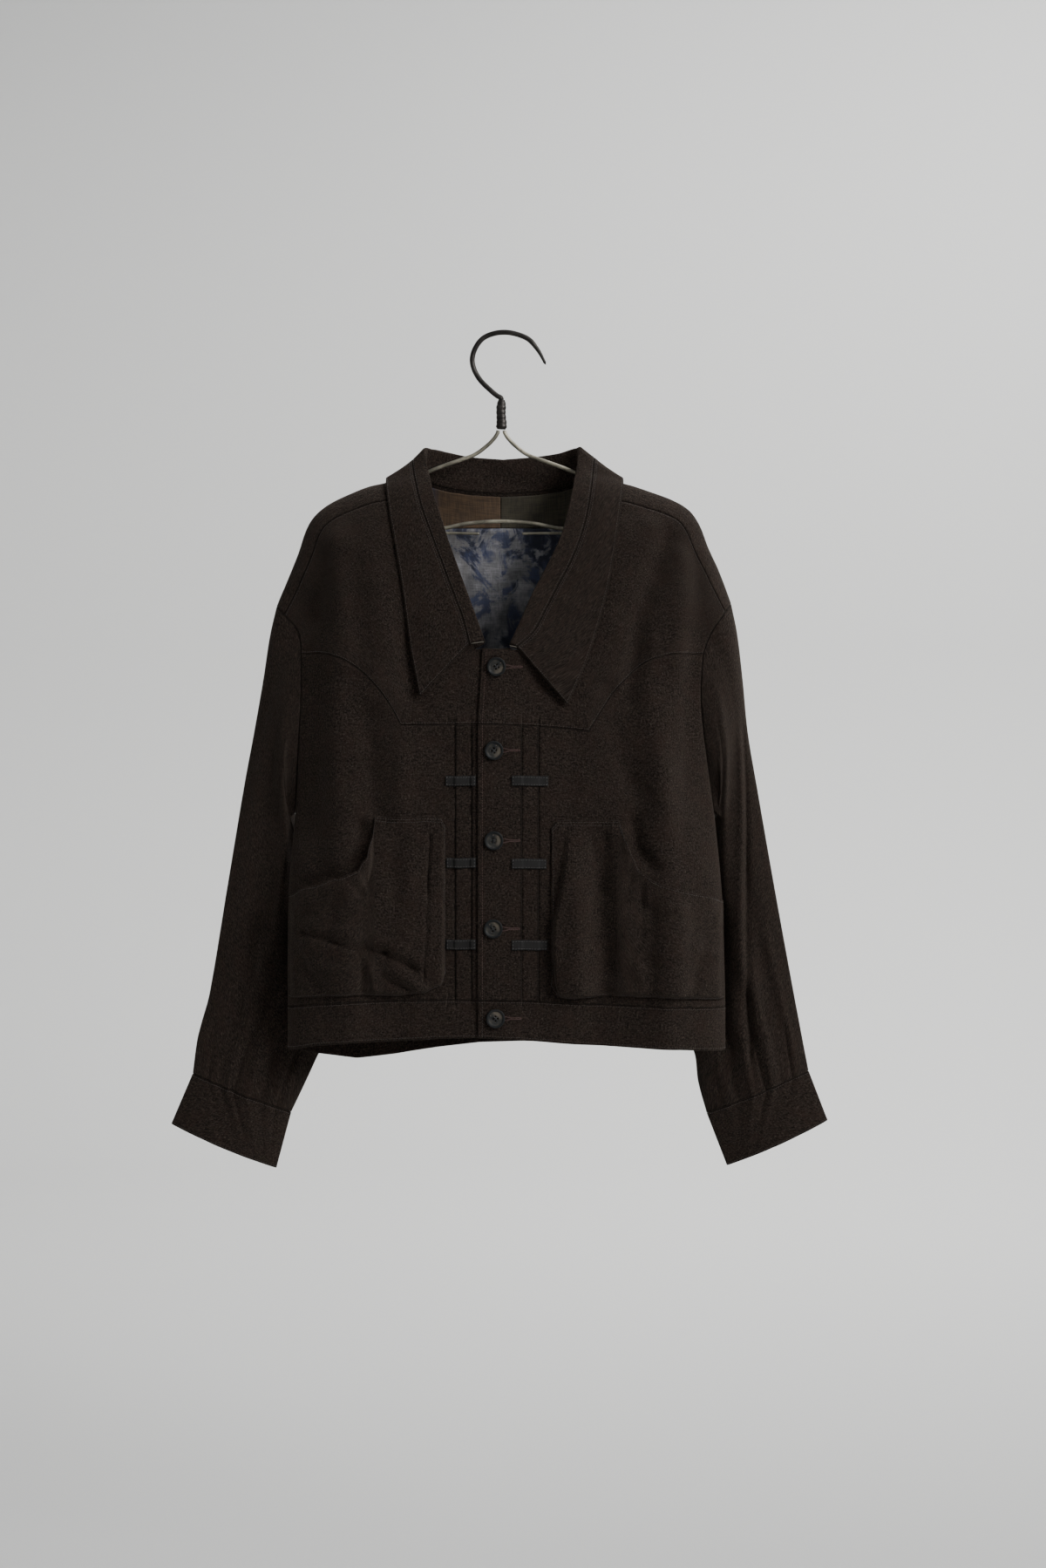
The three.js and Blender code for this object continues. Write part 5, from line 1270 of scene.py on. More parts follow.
def walk(piece, edge, inset, grid=0, start=0.0, stop=1.0):
    """Points and normals that run along an edge of a piece, a little way in from it."""
    ids = piece.grids[grid]
    ids = {"first_row": ids, "last_row": ids[::-1], "first_column": ids.T,
           "last_column": ids.T[::-1]}[edge]
    points, normals = piece.outer[ids], piece.normals[ids]
    down = np.cumsum(np.linalg.norm(np.diff(points, axis=0), axis=2), axis=0)
    row = np.argmax(down >= inset, axis=0)
    column = np.arange(ids.shape[1])
    before = np.where(row > 0, down[np.maximum(row - 1, 0), column], 0)
    t = ((inset - before) / np.maximum(down[row, column] - before, 1e-6))[:, None]
    path = lerp(points[row, column], points[row + 1, column], np.clip(t, 0, 1))
    facing = unit(lerp(normals[row, column], normals[row + 1, column], np.clip(t, 0, 1)))
    at = fractions(path)
    keep = (at >= start) & (at <= stop)
    return path[keep], facing[keep]


# The rings of one stitch, from its start to its end, in shares of its length and radius.
NEEDLE = table("place size sink", (-0.5, 0.35, -1), (-0.36, 1, 0), (0.36, 1, 0),
               (0.5, 0.35, -1))
NEEDLE_SIDES = 5


def stitch_mesh(name, centres, directions, normals, length, radius):
    """Many stitches as one mesh, each a short rod with pointed, sunk ends. length and radius
    are numbers or one value each."""
    across = unit(np.cross(directions, normals))[:, None, None, :]
    ahead, out = directions[:, None, None, :], normals[:, None, None, :]
    length = np.broadcast_to(length, len(centres))[:, None, None, None]
    radius = np.broadcast_to(radius, len(centres))[:, None, None, None]
    turn = circle(NEEDLE_SIDES)[None, None, :, None]
    place_at, size, sink = (NEEDLE[name][None, :, None, None] for name in NEEDLE)
    points = (centres[:, None, None, :] + place_at * length * ahead
              + size * radius * (np.cos(turn) * across + np.sin(turn) * out)
              + sink * radius * out)
    rings = len(NEEDLE["place"])
    faces = tube_faces(rings, NEEDLE_SIDES)
    starts = (np.arange(len(centres)) * rings * NEEDLE_SIDES)[:, None, None]
    sides = (np.array(faces[:-2])[None] + starts).reshape(-1, 4)
    caps = (np.array(faces[-2:])[None] + starts).reshape(-1, NEEDLE_SIDES)
    return mesh_of(name, points, sides.tolist() + caps.tolist())


def along_path(path, facing, pitch):
    """Centres, directions and normals at even steps along a path."""
    at = lengths(path)
    count = max(1, int(at[-1] / pitch))
    s = (np.arange(count) + 0.5) * at[-1] / count
    centres = np.stack([np.interp(s, at, path[:, k]) for k in range(3)], 1)
    normals = unit(np.stack([np.interp(s, at, facing[:, k]) for k in range(3)], 1))
    ahead = np.stack([np.interp(s + 0.4, at, path[:, k]) - np.interp(s - 0.4, at, path[:, k])
                      for k in range(3)], 1)
    return centres, unit(ahead), normals


def sew(name, paths, finish, slot, sizes):
    """One row of topstitches along each path, as one piece."""
    runs = [along_path(path, facing, sizes.stitch_pitch / MM) for path, facing in paths]
    centres, ahead, normals = (np.concatenate(part) for part in zip(*runs))
    radius = sizes.thread / MM / 2
    mesh = stitch_mesh(name, centres + normals * radius * 0.35, ahead, normals,
                       sizes.stitch / MM, radius)
    add_piece(name, mesh, finish, slot)


# ---------------------------------------------------------------- shader tools


class Sock:
    """A value socket with arithmetic: each operation adds its Math node."""

    def __init__(self, tree, socket):
        self.tree, self.socket = tree, socket

    def math(self, operation, *others):
        node = self.tree.nodes.new("ShaderNodeMath")
        node.operation = operation
        for slot, value in zip(node.inputs, others):
            if isinstance(value, Sock):
                self.tree.links.new(value.socket, slot)
            else:
                slot.default_value = value
        return Sock(self.tree, node.outputs[0])

    def __add__(self, other):
        return self.math("ADD", self, other)

    __radd__ = __add__

    def __mul__(self, other):
        return self.math("MULTIPLY", self, other)

    __rmul__ = __mul__

    def __sub__(self, other):
        return self.math("SUBTRACT", self, other)

    def __rsub__(self, other):
        return self.math("SUBTRACT", other, self)

    def sine(self):
        return self.math("SINE", self)

    def step(self, low, high):
        """0 below low and 1 above high, eased between."""
        node = self.tree.nodes.new("ShaderNodeMapRange")
        node.interpolation_type = "SMOOTHSTEP"
        node.inputs["From Min"].default_value = low
        node.inputs["From Max"].default_value = high
        self.tree.links.new(self.socket, node.inputs["Value"])
        return Sock(self.tree, node.outputs[0])


class Finish:
    """A material in the making, with one method for every node that isn't maths."""

    def __init__(self, name):
        self.material = bpy.data.materials.new(name)
        self.material.use_nodes = True
        self.tree = self.material.node_tree
        self.shader = self.tree.nodes["Principled BSDF"]

    def fill(self, slot, value):
        """Gives an input a socket, a colour or a number."""
        if isinstance(value, Sock):
            self.tree.links.new(value.socket, slot)
        elif slot.type == "RGBA":
            slot.default_value = (*value, 1)
        else:
            slot.default_value = value

    def node(self, kind, out=0, settings=None, **inputs):
        """Adds a node. settings go in first, then values or sockets by input name, where
        underscores stand for spaces; a leading i gives an input's number."""
        made = self.tree.nodes.new(kind)
        for key, value in (settings or {}).items():
            setattr(made, key, value)
        for key, value in inputs.items():
            number = key[1:]
            name = int(number) if number.isdigit() else key.replace("_", " ")
            self.fill(made.inputs[name], value)
        return Sock(self.tree, made.outputs[out])

    def noise(self, vector, scale, detail=2.0, rough=0.5, **more):
        return self.node("ShaderNodeTexNoise", Vector=vector, Scale=scale, Detail=detail,
                         Roughness=rough, **more)

    def stretched(self, vector, x, y):
        return self.node("ShaderNodeVectorMath", settings={"operation": "MULTIPLY"},
                         i0=vector, i1=(x, y, 1.0))

    def threads(self, vector, x, y, detail=3.0, rough=0.5):
        """Noise drawn out along one direction, finer across it."""
        return self.noise(self.stretched(vector, x, y), 1.0, detail, rough)

    def mix(self, factor, a, b):
        return self.node("ShaderNodeMix", out=2, settings={"data_type": "RGBA"},
                         i0=factor, i6=a, i7=b)

    def cloth(self):
        return self.node("ShaderNodeUVMap", settings={"uv_map": "cloth"})

    def place(self):
        return self.node("ShaderNodeTexCoord", out=3)

    def along(self, vector, axis):
        return self.node("ShaderNodeSeparateXYZ", out=axis, Vector=vector)

    def measured(self, name):
        """A number that the mesh gives for each of its points."""
        return self.node("ShaderNodeAttribute", out=2, settings={"attribute_name": name})

    def painted_edge_shade(self, reach):
        """Mask of painted shade: 1 at the edges and creases of a piece, 0 from reach millimetres
        on.
        """
        return 1 - self.measured("edge_mm").step(0.1, reach)

    def set(self, **values):
        for key, value in values.items():
            self.fill(self.shader.inputs[key.replace("_", " ")], value)
        return self

    def bump(self, height, strength, distance):
        normal = self.node("ShaderNodeBump", Height=height, Strength=strength,
                           Distance=distance)
        return self.set(Normal=normal)


def shade(name, factor=1.0):
    """A colour of the settings, made darker or lighter."""
    colour = getattr(bpy.context.scene.jacket.colours, name)
    return tuple(min(1.0, c * factor) for c in colour)


@lru_cache
def wool_finish(name="wool", painted_lift=1.0):
    """Coarse brown wool: a pebbled, heathered face of uneven yarns with pale fibres."""
    f = Finish(name)
    cloth = f.cloth()
    warp = f.threads(cloth, 760, 170, 2.0, 0.6)
    weft = f.threads(cloth, 160, 700, 2.0, 0.6)
    yarn = (warp + weft) * 0.5
    pebble = f.noise(cloth, 520.0, 2.0, 0.75)
    felt = f.noise(cloth, 1300.0, 2.0, 0.7)
    patches = f.noise(cloth, 34.0, 4.0, 0.65)
    mottle = f.noise(cloth, 150.0, 3.0, 0.6).step(0.3, 0.7)
    fleck = f.threads(cloth, 520, 360, 1.0).step(0.62, 0.74)
    height = pebble * 0.55 + yarn * 0.3 + felt * 0.15
    grain = height.step(0.41, 0.61)
    grain = grain * 0.86 + mottle * 0.14
    base = f.mix(grain, shade("wool", 0.12 * painted_lift), shade("wool", 2.45 * painted_lift))
    base = f.mix(patches.step(0.42, 0.7) * 0.45, base, shade("wool_red", painted_lift))
    olive = f.noise(cloth, 52.0, 3.0, 0.6).step(0.5, 0.72)
    base = f.mix(olive * grain * 0.4, base, shade("wool_olive", painted_lift))
    base = f.mix(fleck * 0.5, base, shade("wool_light"))
    # Painted shade along the seams, free edges and pressed creases of the wool.
    base = f.mix(f.painted_edge_shade(0.95) * 0.72, base, shade("wool", 0.2))
    f.set(Base_Color=base, Roughness=0.9 + grain * 0.08, Sheen_Weight=0.2,
          Sheen_Roughness=0.5, Sheen_Tint=(0.42, 0.34, 0.28), Specular_IOR_Level=0.1)
    return f.bump(height, 1.0, 0.0030).material


@lru_cache
def thread_finish(name, colour_name):
    f = Finish(name)
    strand = f.noise(f.place(), 2400.0, 2.0)
    base = f.mix(strand.step(0.35, 0.65), shade(colour_name, 0.7), shade(colour_name, 1.4))
    return f.set(Base_Color=base, Roughness=0.62, Sheen_Weight=0.2).bump(
        strand, 0.4, 0.0002).material


RIB_WIDTH = 0.0012            # of the grosgrain, in metres


@lru_cache
def ribbon_finish():
    """Grosgrain: fine ribs across a dark grey ribbon, with painted shade along its edges."""
    f = Finish("ribbon")
    cloth = f.cloth()
    rib = (f.along(cloth, 0) * (2 * math.pi / RIB_WIDTH)).sine()
    rib = rib * 0.5 + 0.5
    fibre = f.threads(cloth, 900, 200)
    patch = f.noise(cloth, 60.0, 2.0)
    base = f.mix(rib * 0.45 + fibre * 0.45, shade("ribbon", 0.65), shade("ribbon", 1.7))
    base = f.mix(patch.step(0.4, 0.7) * 0.4, base, shade("ribbon", 1.25))
    # Painted shade along the tab's edges.
    base = f.mix(f.painted_edge_shade(0.9) * 0.7, base, shade("ribbon", 0.45))
    f.set(Base_Color=base, Roughness=0.7, Sheen_Weight=0.12, Sheen_Tint=(0.5, 0.5, 0.5),
          Specular_IOR_Level=0.25)
    return f.bump(rib * 0.7 + fibre * 0.3, 0.5, 0.0004).material


@lru_cache
def facing_finish(name, colour_name):
    """Plain dyed cloth with uneven threads, worn paler in streaks."""
    f = Finish(name)
    cloth = f.cloth()
    warp = f.threads(cloth, 900, 46, 3.0, 0.65)
    weft = f.threads(cloth, 40, 700, 3.0, 0.65)
    stain = f.noise(cloth, 42.0, 4.0, 0.6)
    base = f.mix((warp * 0.5 + weft * 0.5).step(0.36, 0.64), shade(colour_name, 0.55),
                 shade(colour_name, 1.6))
    base = f.mix(stain.step(0.5, 0.72) * 0.45, base, shade(colour_name, 1.8))
    if colour_name == "brown":
        # Painted shadow in navy at the facing's left end, where a fold of the lining lies in
        # shade.
        shadow = f.along(f.place(), 0).step(-0.074, -0.087)
        painted_shadow_navy = shade("print_navy", 1.4)
        base = f.mix(shadow * (stain * 0.6 + 0.5), base, painted_shadow_navy)
    f.set(Base_Color=base, Roughness=0.8, Sheen_Weight=0.12)
    return f.bump(warp + weft, 0.45, 0.0004).material


@lru_cache
def print_finish():
    """A plain blotchy print, brushed and stained: pale ground, blue and navy patches."""
    f = Finish("lining_print")
    cloth = f.cloth()
    weave = f.threads(cloth, 700, 90)
    weft = f.threads(cloth, 80, 700)
    wash = f.noise(cloth, 26.0, 5.0, 0.66)
    drift = f.noise(f.stretched(cloth, 1.0, 0.45), 17.0, 5.0, 0.62, Distortion=0.7)
    deep = f.noise(f.stretched(cloth, 1.0, 0.8), 31.0, 6.0, 0.64, Distortion=1.1)
    spots = f.node("ShaderNodeTexVoronoi", settings={"feature": "F1"}, Vector=cloth,
                   Scale=27.0, Randomness=1.0)
    spot = (1 - spots.step(0.16, 0.25)) * wash.step(0.42, 0.6)
    ground = f.mix(wash.step(0.3, 0.7), shade("print_ground", 0.42),
                   shade("print_ground", 1.35))
    ground = f.mix(drift.step(0.52, 0.62) * 0.5, ground, shade("print_grey"))
    ground = f.mix(deep.step(0.49, 0.57) * 0.8, ground, shade("print_blue"))
    ground = f.mix((deep.step(0.5, 0.58) * drift.step(0.45, 0.53)) * 0.95, ground,
                   shade("print_navy"))
    ground = f.mix(spot * 0.8, ground, shade("print_blue", 0.8))
    # Darker navy towards the foot of the lining.
    foot = f.along(f.place(), 2).step(-0.262, -0.325)
    ground = f.mix(foot * deep.step(0.36, 0.6) * 0.9, ground, shade("print_navy", 1.5))
    threads = (weave + weft) * 0.5
    base = f.mix(threads.step(0.36, 0.62), f.mix(0.4, ground, shade("print_thread")), ground)
    f.set(Base_Color=base, Roughness=0.82, Sheen_Weight=0.1)
    return f.bump(threads, 0.35, 0.0004).material


@lru_cache
def horn_finish():
    """Dark slate horn with pale veins, painted copper highlights and a dark rim."""
    f = Finish("button_horn")
    where = f.place()
    swirl = f.noise(where, 120.0, 5.0, 0.6, Distortion=2.4)
    cloud = f.noise(where, 60.0, 3.0, 0.5)
    base = f.mix(cloud.step(0.35, 0.7), shade("button", 1.8), shade("button_pale", 0.75))
    base = f.mix(swirl.step(0.58, 0.7) * 0.7, base, shade("button_pale", 1.8))
    # Painted warm highlights in the dish.
    base = f.mix(swirl.step(0.63, 0.74) * 0.85, base, shade("button_warm"))
    base = f.mix(f.measured("rim") * 0.96, base, shade("button", 1.3))
    f.set(Base_Color=base, Roughness=0.42 + cloud * 0.12, Coat_Weight=0.03,
          Coat_Roughness=0.15, Specular_IOR_Level=0.14)
    return f.bump(swirl, 0.08, 0.0003).material


@lru_cache
def metal_finish(name, colour_name, shine, pitting):
    """Old drawn wire: dull, with darker spots and fine lengthwise marks."""
    f = Finish(name)
    where = f.place()
    spots = f.noise(where, 210.0, 5.0, 0.62)
    marks = f.noise(where, 900.0, 3.0, 0.6)
    tarnish = f.noise(where, 40.0, 4.0, 0.55)
    base = f.mix(tarnish.step(0.35, 0.7), shade(colour_name, 0.62), shade(colour_name, 1.35))
    base = f.mix(spots.step(0.56, 0.7) * pitting, base, shade(colour_name, 0.3))
    f.set(Base_Color=base, Roughness=shine + tarnish * 0.25 + marks * 0.08,
          Metallic=0.88 - spots.step(0.55, 0.72) * 0.5)
    return f.bump(spots * 0.6 + marks * 0.4, 0.35, 0.0004).material


@lru_cache
def room_finish():
    f = Finish("room")
    colour = bpy.context.scene.jacket.stage.floor
    return f.set(Base_Color=tuple(colour), Roughness=0.95, Specular_IOR_Level=0.1).material


# ---------------------------------------------------------------- operators


class JacketOperator(bpy.types.Operator):
    """Common ground of the operators: they all read the jacket's settings."""

    bl_options = {"REGISTER", "UNDO"}

    def execute(self, context):
        settings = context.scene.jacket
        self.build(settings.sizes, settings.stage)
        return {"FINISHED"}


class JACKET_OT_body(JacketOperator):
    """Fronts, yokes, back and waistband in wool"""

    bl_idname = "jacket.body"
    bl_label = "Body"

    def build(self, sizes, stage):
        pieces = shell_pieces()
        rests = {"back": [], "yoke_right": ["back"], "yoke_left": ["back"],
                 "front_right": ["yoke_right"], "front_left": ["yoke_left"],
                 "waistband": ["back", "front_left"]}
        for name, on in rests.items():
            cloth_piece(pieces[name], sizes.cloth, wool_finish(), "wool")


class JACKET_OT_sleeves(JacketOperator):
    """Sleeves and cuffs"""

    bl_idname = "jacket.sleeves"
    bl_label = "Sleeves"

    def build(self, sizes, stage):
        pieces = shell_pieces()
        # The sleeves take a copy of the wool painted 2% lighter.
        finish = wool_finish("wool_sleeve", 1.02)
        for side in SIDES:
            cloth_piece(pieces[f"sleeve_{side}"], sizes.cloth, finish, "wool")
            cloth_piece(pieces[f"cuff_{side}"], sizes.cloth, finish, "wool")


class JACKET_OT_collar(JacketOperator):
    """The collar's band and its leaf"""

    bl_idname = "jacket.collar"
    bl_label = "Collar"

    def build(self, sizes, stage):
        pieces = shell_pieces()
        for name, on in (("collar_band", ["back"]), ("collar_leaf", ["collar_band"])):
            cloth_piece(pieces[name], sizes.cloth, wool_finish(), "wool")
        x, z = np.array([-34.5, 2.5]), np.array([-331.6, -335.5])
        centres = np.stack([x, clear_front("left", x, z, 4.6), z], 1)
        along = unit(np.array([(1, 0, 0.14), (1, 0, -0.2)]))
        ends = stitch_mesh("facing_ends", centres, along, np.tile([0, -1.0, 0], (2, 1)),
                           [14, 8], 0.4)
        add_piece("facing_ends", ends, facing_finish("facing_pale", "cream"), "facing_brown")


@lru_cache
def laid_piece(name):
    """Pockets, tabs and the sheets inside the neck."""
    facing = np.array((0, -1.0, 0))
    kind, _, rest = name.partition("_")
    if kind == "pocket":
        points = pocket_grid(rest)
    elif kind == "tab":
        side, row = rest.split("_")
        points = tab_grid(side, int(row) - 1)
    elif name == "facing_brown":
        xs = np.linspace(-90, -11.4, 50)
        points = inside_grid(xs, facing_top(xs), FACING_BOTTOM, 26)
    elif name == "facing_olive":
        xs = np.linspace(-11, 74, 52)
        points = inside_grid(xs, facing_top(xs), FACING_BOTTOM, 26)
    else:
        xs = np.linspace(-150, 135, 110)
        points = inside_grid(xs, FACING_BOTTOM - 0.4, LINING_BOTTOM, 84)
    return Piece(name, [(points, facing, None)])


class JACKET_OT_pockets(JacketOperator):
    """Patch pockets with their curved hand openings"""

    bl_idname = "jacket.pockets"
    bl_label = "Pockets"

    def build(self, sizes, stage):
        for side in SIDES:
            cloth_piece(laid_piece(f"pocket_{side}"), sizes.cloth, wool_finish(), "wool")


class JACKET_OT_tabs(JacketOperator):
    """Ribbon tabs across the tucks, each stitched along both edges"""

    bl_idname = "jacket.tabs"
    bl_label = "Ribbon tabs"

    def build(self, sizes, stage):
        thread = thread_finish("thread_grey", "tab_thread")
        for side in SIDES:
            paths = []
            for number in (1, 2, 3):
                name = f"tab_{side}_{number}"
                piece = laid_piece(name)
                thing = cloth_piece(piece, sizes.ribbon, ribbon_finish(), "ribbon")
                width = abs(TABS[side]["outer"][number - 1] - TABS[side]["inner"][number - 1])
                width * MM
                paths += [walk(piece, edge, 1.2) for edge in
                          ("first_row", "last_row", "first_column", "last_column")]
            sew(f"tab_stitches_{side}", paths, thread, "ribbon", sizes)


class JACKET_OT_inside(JacketOperator):
    """The pieced neck facing and the printed lining inside the back"""

    bl_idname = "jacket.inside"
    bl_label = "Facing and lining"

    def build(self, sizes, stage):
        rows = (("facing_brown", facing_finish("facing_brown", "brown"), "facing_brown"),
                ("facing_olive", facing_finish("facing_olive", "olive"), "facing_olive"),
                ("back_lining", print_finish(), "lining"))
        for name, finish, slot in rows:
            cloth_piece(laid_piece(name), sizes.lining, finish, slot)


class JACKET_OT_sewing(JacketOperator):
    """Topstitching along the seams and edges"""

    bl_idname = "jacket.sewing"
    bl_label = "Topstitching"

    def build(self, sizes, stage):
        p = shell_pieces()
        inset = sizes.topstitch / MM
        brown = thread_finish("thread_brown", "thread")
        red = thread_finish("thread_red", "red_thread")
        sew("stitches_front_edge", [
            walk(p["front_left"], "first_column", 4.4), walk(p["yoke_left"], "first_column", 4.4)],
            red, "wool", sizes)
        sew("stitches_yokes", [
            walk(p[f"yoke_{side}"], "first_row", inset) for side in SIDES] + [
            walk(p[f"yoke_{side}"], "last_row", inset, start=0.42) for side in SIDES],
            brown, "wool", sizes)
        leaf, band = p["collar_leaf"], p["collar_band"]
        sew("stitches_collar", [
            walk(leaf, "last_column", inset), walk(leaf, "first_column", 1.0),
            walk(leaf, "first_column", 3.2), walk(leaf, "first_row", inset),
            walk(leaf, "last_row", inset), walk(band, "last_column", 1.4)],
            brown, "wool", sizes)
        sew("stitches_waistband", [
            walk(p["waistband"], "first_row", inset), walk(p["waistband"], "last_row", 2.2),
            walk(p["waistband"], "last_column", 4.4)], brown, "wool", sizes)
        sew("stitches_cuffs", [
            walk(p[f"cuff_{side}"], edge, inset) for side in SIDES
            for edge in ("first_row", "last_row", "last_column")], brown, "wool", sizes)
        pockets = [laid_piece(f"pocket_{side}") for side in SIDES]
        sew("stitches_pockets", [
            walk(pocket, edge, 2.0) for pocket in pockets
            for edge in ("first_row", "last_row", "first_column")] + [
            walk(pocket, "first_row", 5.0, stop=0.34) for pocket in pockets],
            brown, "wool", sizes)


# Directions of a button's four holes from its middle.
HOLES = ((1, 1), (1, -1), (-1, -1), (-1, 1))
BUTTON_TURNS, HOLE_TURNS = 64, 20


def drill(disc, x, y, radius):
    """Cuts a round hole through the disc."""
    points = [(x + radius * math.cos(t), y + radius * math.sin(t), z)
              for z in (-2, 6) for t in circle(HOLE_TURNS)]
    bit = link("drill", mesh_of("drill", points, tube_faces(2, HOLE_TURNS)))
    cut = disc.modifiers.new("hole", "BOOLEAN")
    cut.object, cut.operation, cut.solver = bit, "DIFFERENCE", "EXACT"
    bpy.context.view_layer.update()
    graph = bpy.context.evaluated_depsgraph_get()
    result = bpy.data.meshes.new_from_object(disc.evaluated_get(graph))
    disc.modifiers.clear()
    disc.data = result
    bpy.data.objects.remove(bit)


def button_mesh(radius):
    """A four-hole button with a raised rim, its back at 0 and its face towards +Z. Its
    attribute rim is 1 on the rim and 0 in the dish."""
    thick, dish, rim, hole, spacing = 3.2, 1.4, 2.1, 1.0, 1.75
    profile = [(radius - 2.2, 0), (radius - 0.9, 0.3), (radius - 0.2, 1.0),
               (radius, 1.7), (radius - 0.12, 2.4), (radius - 0.5, 2.9),
               (radius - 1.0, thick), (radius - rim + 0.35, thick - 0.12),
               (radius - rim - 0.25, thick - 0.6), (radius - rim - 0.8, thick - dish),
               (radius - rim - 1.8, thick - dish - 0.14), (4.1, thick - dish - 0.02),
               (3.6, thick - dish - 0.1)]
    points = [(r * math.cos(a), r * math.sin(a), h) for r, h in profile
              for a in circle(BUTTON_TURNS)]
    disc = link("button_disc", mesh_of("button", points,
                                       tube_faces(len(profile), BUTTON_TURNS)))
    for dx, dz in HOLES:
        drill(disc, dx * spacing, dz * spacing, hole)
    made = disc.data
    bpy.data.objects.remove(disc)
    at = np.array([v.co for v in made.vertices]) / MM
    out = np.hypot(at[:, 0], at[:, 1])
    value = np.clip((out - radius + rim + 0.9) / 0.5, 0, 1)
    made.attributes.new("rim", "FLOAT", "POINT").data.foreach_set("value", value)
    return smooth(made)


def turned(normal, spin):
    """Rotation that brings +Z to a normal after a spin about it."""
    return Vector((0, 0, 1)).rotation_difference(Vector(normal)) @ Quaternion((0, 0, 1), spin)


BUTTONHOLE_FROM = 9.2         # from the button's middle to the first stitch
BUTTONHOLE_STITCHES = 34      # along each lip


class JACKET_OT_buttons(JacketOperator):
    """Horn buttons, the thread through their holes and their worked buttonholes"""

    bl_idname = "jacket.buttons"
    bl_label = "Buttons"

    def build(self, sizes, stage):
        mesh = button_mesh(round(sizes.button / MM / 2, 3))
        surface = partial(front, "left")
        threads, lips = [], []
        for number, (x, z) in enumerate(columns(BUTTONS, "x z"), 1):
            at = np.array([x]), np.array([z])
            normal = height_normal(surface, *at)[0]
            seat = lifted(surface, *at, np.array([CAD_CLOTH / 2 + 0.7]))[0]
            thing = link(f"horn_button_{number}", mesh.copy())
            thing.data.materials.append(horn_finish())
            thing.location = seat * MM
            thing.rotation_mode = "QUATERNION"
            thing.rotation_quaternion = turned(normal, 0.5 * number)
            bpy.context.view_layer.update()
            place(thing, "button", f"button_{number}")
            side = unit(np.cross(normal, (0, 0, 1)))
            up = np.cross(side, normal)
            for dx, dz in HOLES:
                threads.append((seat + normal * 2.1 + side * dx * 0.85 + up * dz * 0.85,
                                unit(side * dx + up * dz), normal))
            start = x + BUTTONHOLE_FROM
            for row in (-1, 1):
                lips += [(start + k * 0.5, z + row * (0.75 + 1.6 * max(0, 1 - k / 14)), 1.25)
                         for k in range(BUTTONHOLE_STITCHES)]
            lips += [(start + 17.2 + k * 0.2, z, 2.6 - 0.2 * k) for k in range(5)]
        centres, ahead, normals = (np.array(part) for part in zip(*threads))
        knots = stitch_mesh("button_thread", centres, ahead, normals, 3.4, 0.42)
        add_piece("button_thread", knots, thread_finish("thread_button", "button"), "wool")
        x, z, size = np.array(lips).T
        centres = lifted(surface, x, z, np.full(len(x), sizes.cloth / MM / 2 + 0.1))
        normals = height_normal(surface, x, z)
        up = np.array([0, 0, 1.0])
        ahead = unit(up - (up * normals).sum(1, keepdims=True) * normals)
        work = stitch_mesh("buttonholes", centres, ahead, normals, size, 0.24)
        add_piece("buttonholes", work, thread_finish("thread_red", "red_thread"), "wool")


def rod_mesh(name, line, radius, sides, flatten=1.0):
    """A round rod along points, its radius a number or one value for each point."""
    ahead = unit(np.gradient(line, axis=0))
    across = unit(np.cross(ahead, (0, 1.0, 0)))
    other = np.cross(across, ahead)[:, None]
    turn = circle(sides)[None, :, None]
    radius = np.broadcast_to(radius, len(line))[:, None, None]
    points = (line[:, None] + radius * (np.cos(turn) * across[:, None]
              + flatten * np.sin(turn) * other))
    return mesh_of(name, points, tube_faces(len(line), sides))


def in_plane(flat):
    return spread(flat, np.zeros(len(flat)))


class JACKET_OT_hanger(JacketOperator):
    """The hook, its crimped joint and the bent wire frame"""

    bl_idname = "jacket.hanger"
    bl_label = "Hanger"

    def build(self, sizes, stage):
        dark = metal_finish("blackened_steel", "hook", 0.28, 0.6)
        dull = metal_finish("old_wire", "wire", 0.3, 0.7)
        t = even(180)
        hook = in_plane(seam_curve(HOOK_LINE)(t))
        radius = lerp(2.8, 1.5, ease(0.8, 1, t)) * (1 - 0.75 * ease(0.985, 1, t))
        add_piece("hanger_hook_wire", rod_mesh("hook", hook, radius, 20), dark, "hook_steel",
                  "hanger_hook")
        z = np.linspace(-100.6, -69.5, 90)
        wraps = 0.45 * np.abs(np.sin((z + 70) * 0.62))
        girth = np.interp(z, [-100.6, -98, -92, -84, -76, -69.5], [5.0, 6.0, 5.5, 5.2, 5.4, 4.0])
        line = np.stack([np.full(len(z), HANGER_X) + 0.3 * np.sin(z / 4), 0 * z, z], 1)
        add_piece("hanger_joint_wire", rod_mesh("joint", line, girth - 0.5 + wraps, 28, 0.8),
                  dark, "hook_steel", "hanger_joint")
        right = np.stack([HANGER_X - ARM_LINE["out"], ARM_LINE["z"]], 1)
        left = np.stack([HANGER_X + ARM_LINE["out"] * LEFT_ARM_SHARE, ARM_LINE["z"]], 1)
        arms = np.concatenate([right, left[:-1][::-1]])
        frame_line = in_plane(curve_through(arms)(even(420)))
        frame_line[:, 1] += 0.35 * np.sin(frame_line[:, 0] / 23)
        add_piece("hanger_frame_wire", rod_mesh("frame", frame_line, WIRE, 16), dull, "wire",
                  "hanger_frame")
        for side, ends in (("right", (-86, -34)), ("left", (12, 66))):
            x = np.linspace(*ends, 40)
            z = np.interp(x, frame_line[::-1, 0][160:260], frame_line[::-1, 2][160:260]) - 3.6
            bow = 0.5 * np.sin(math.pi * even(39))
            doubled = np.stack([x, np.full(len(x), -1.4), z + bow], 1)
            add_piece(f"wire_end_{side}", rod_mesh("end", doubled, 1.5, 12), dull, "wire")


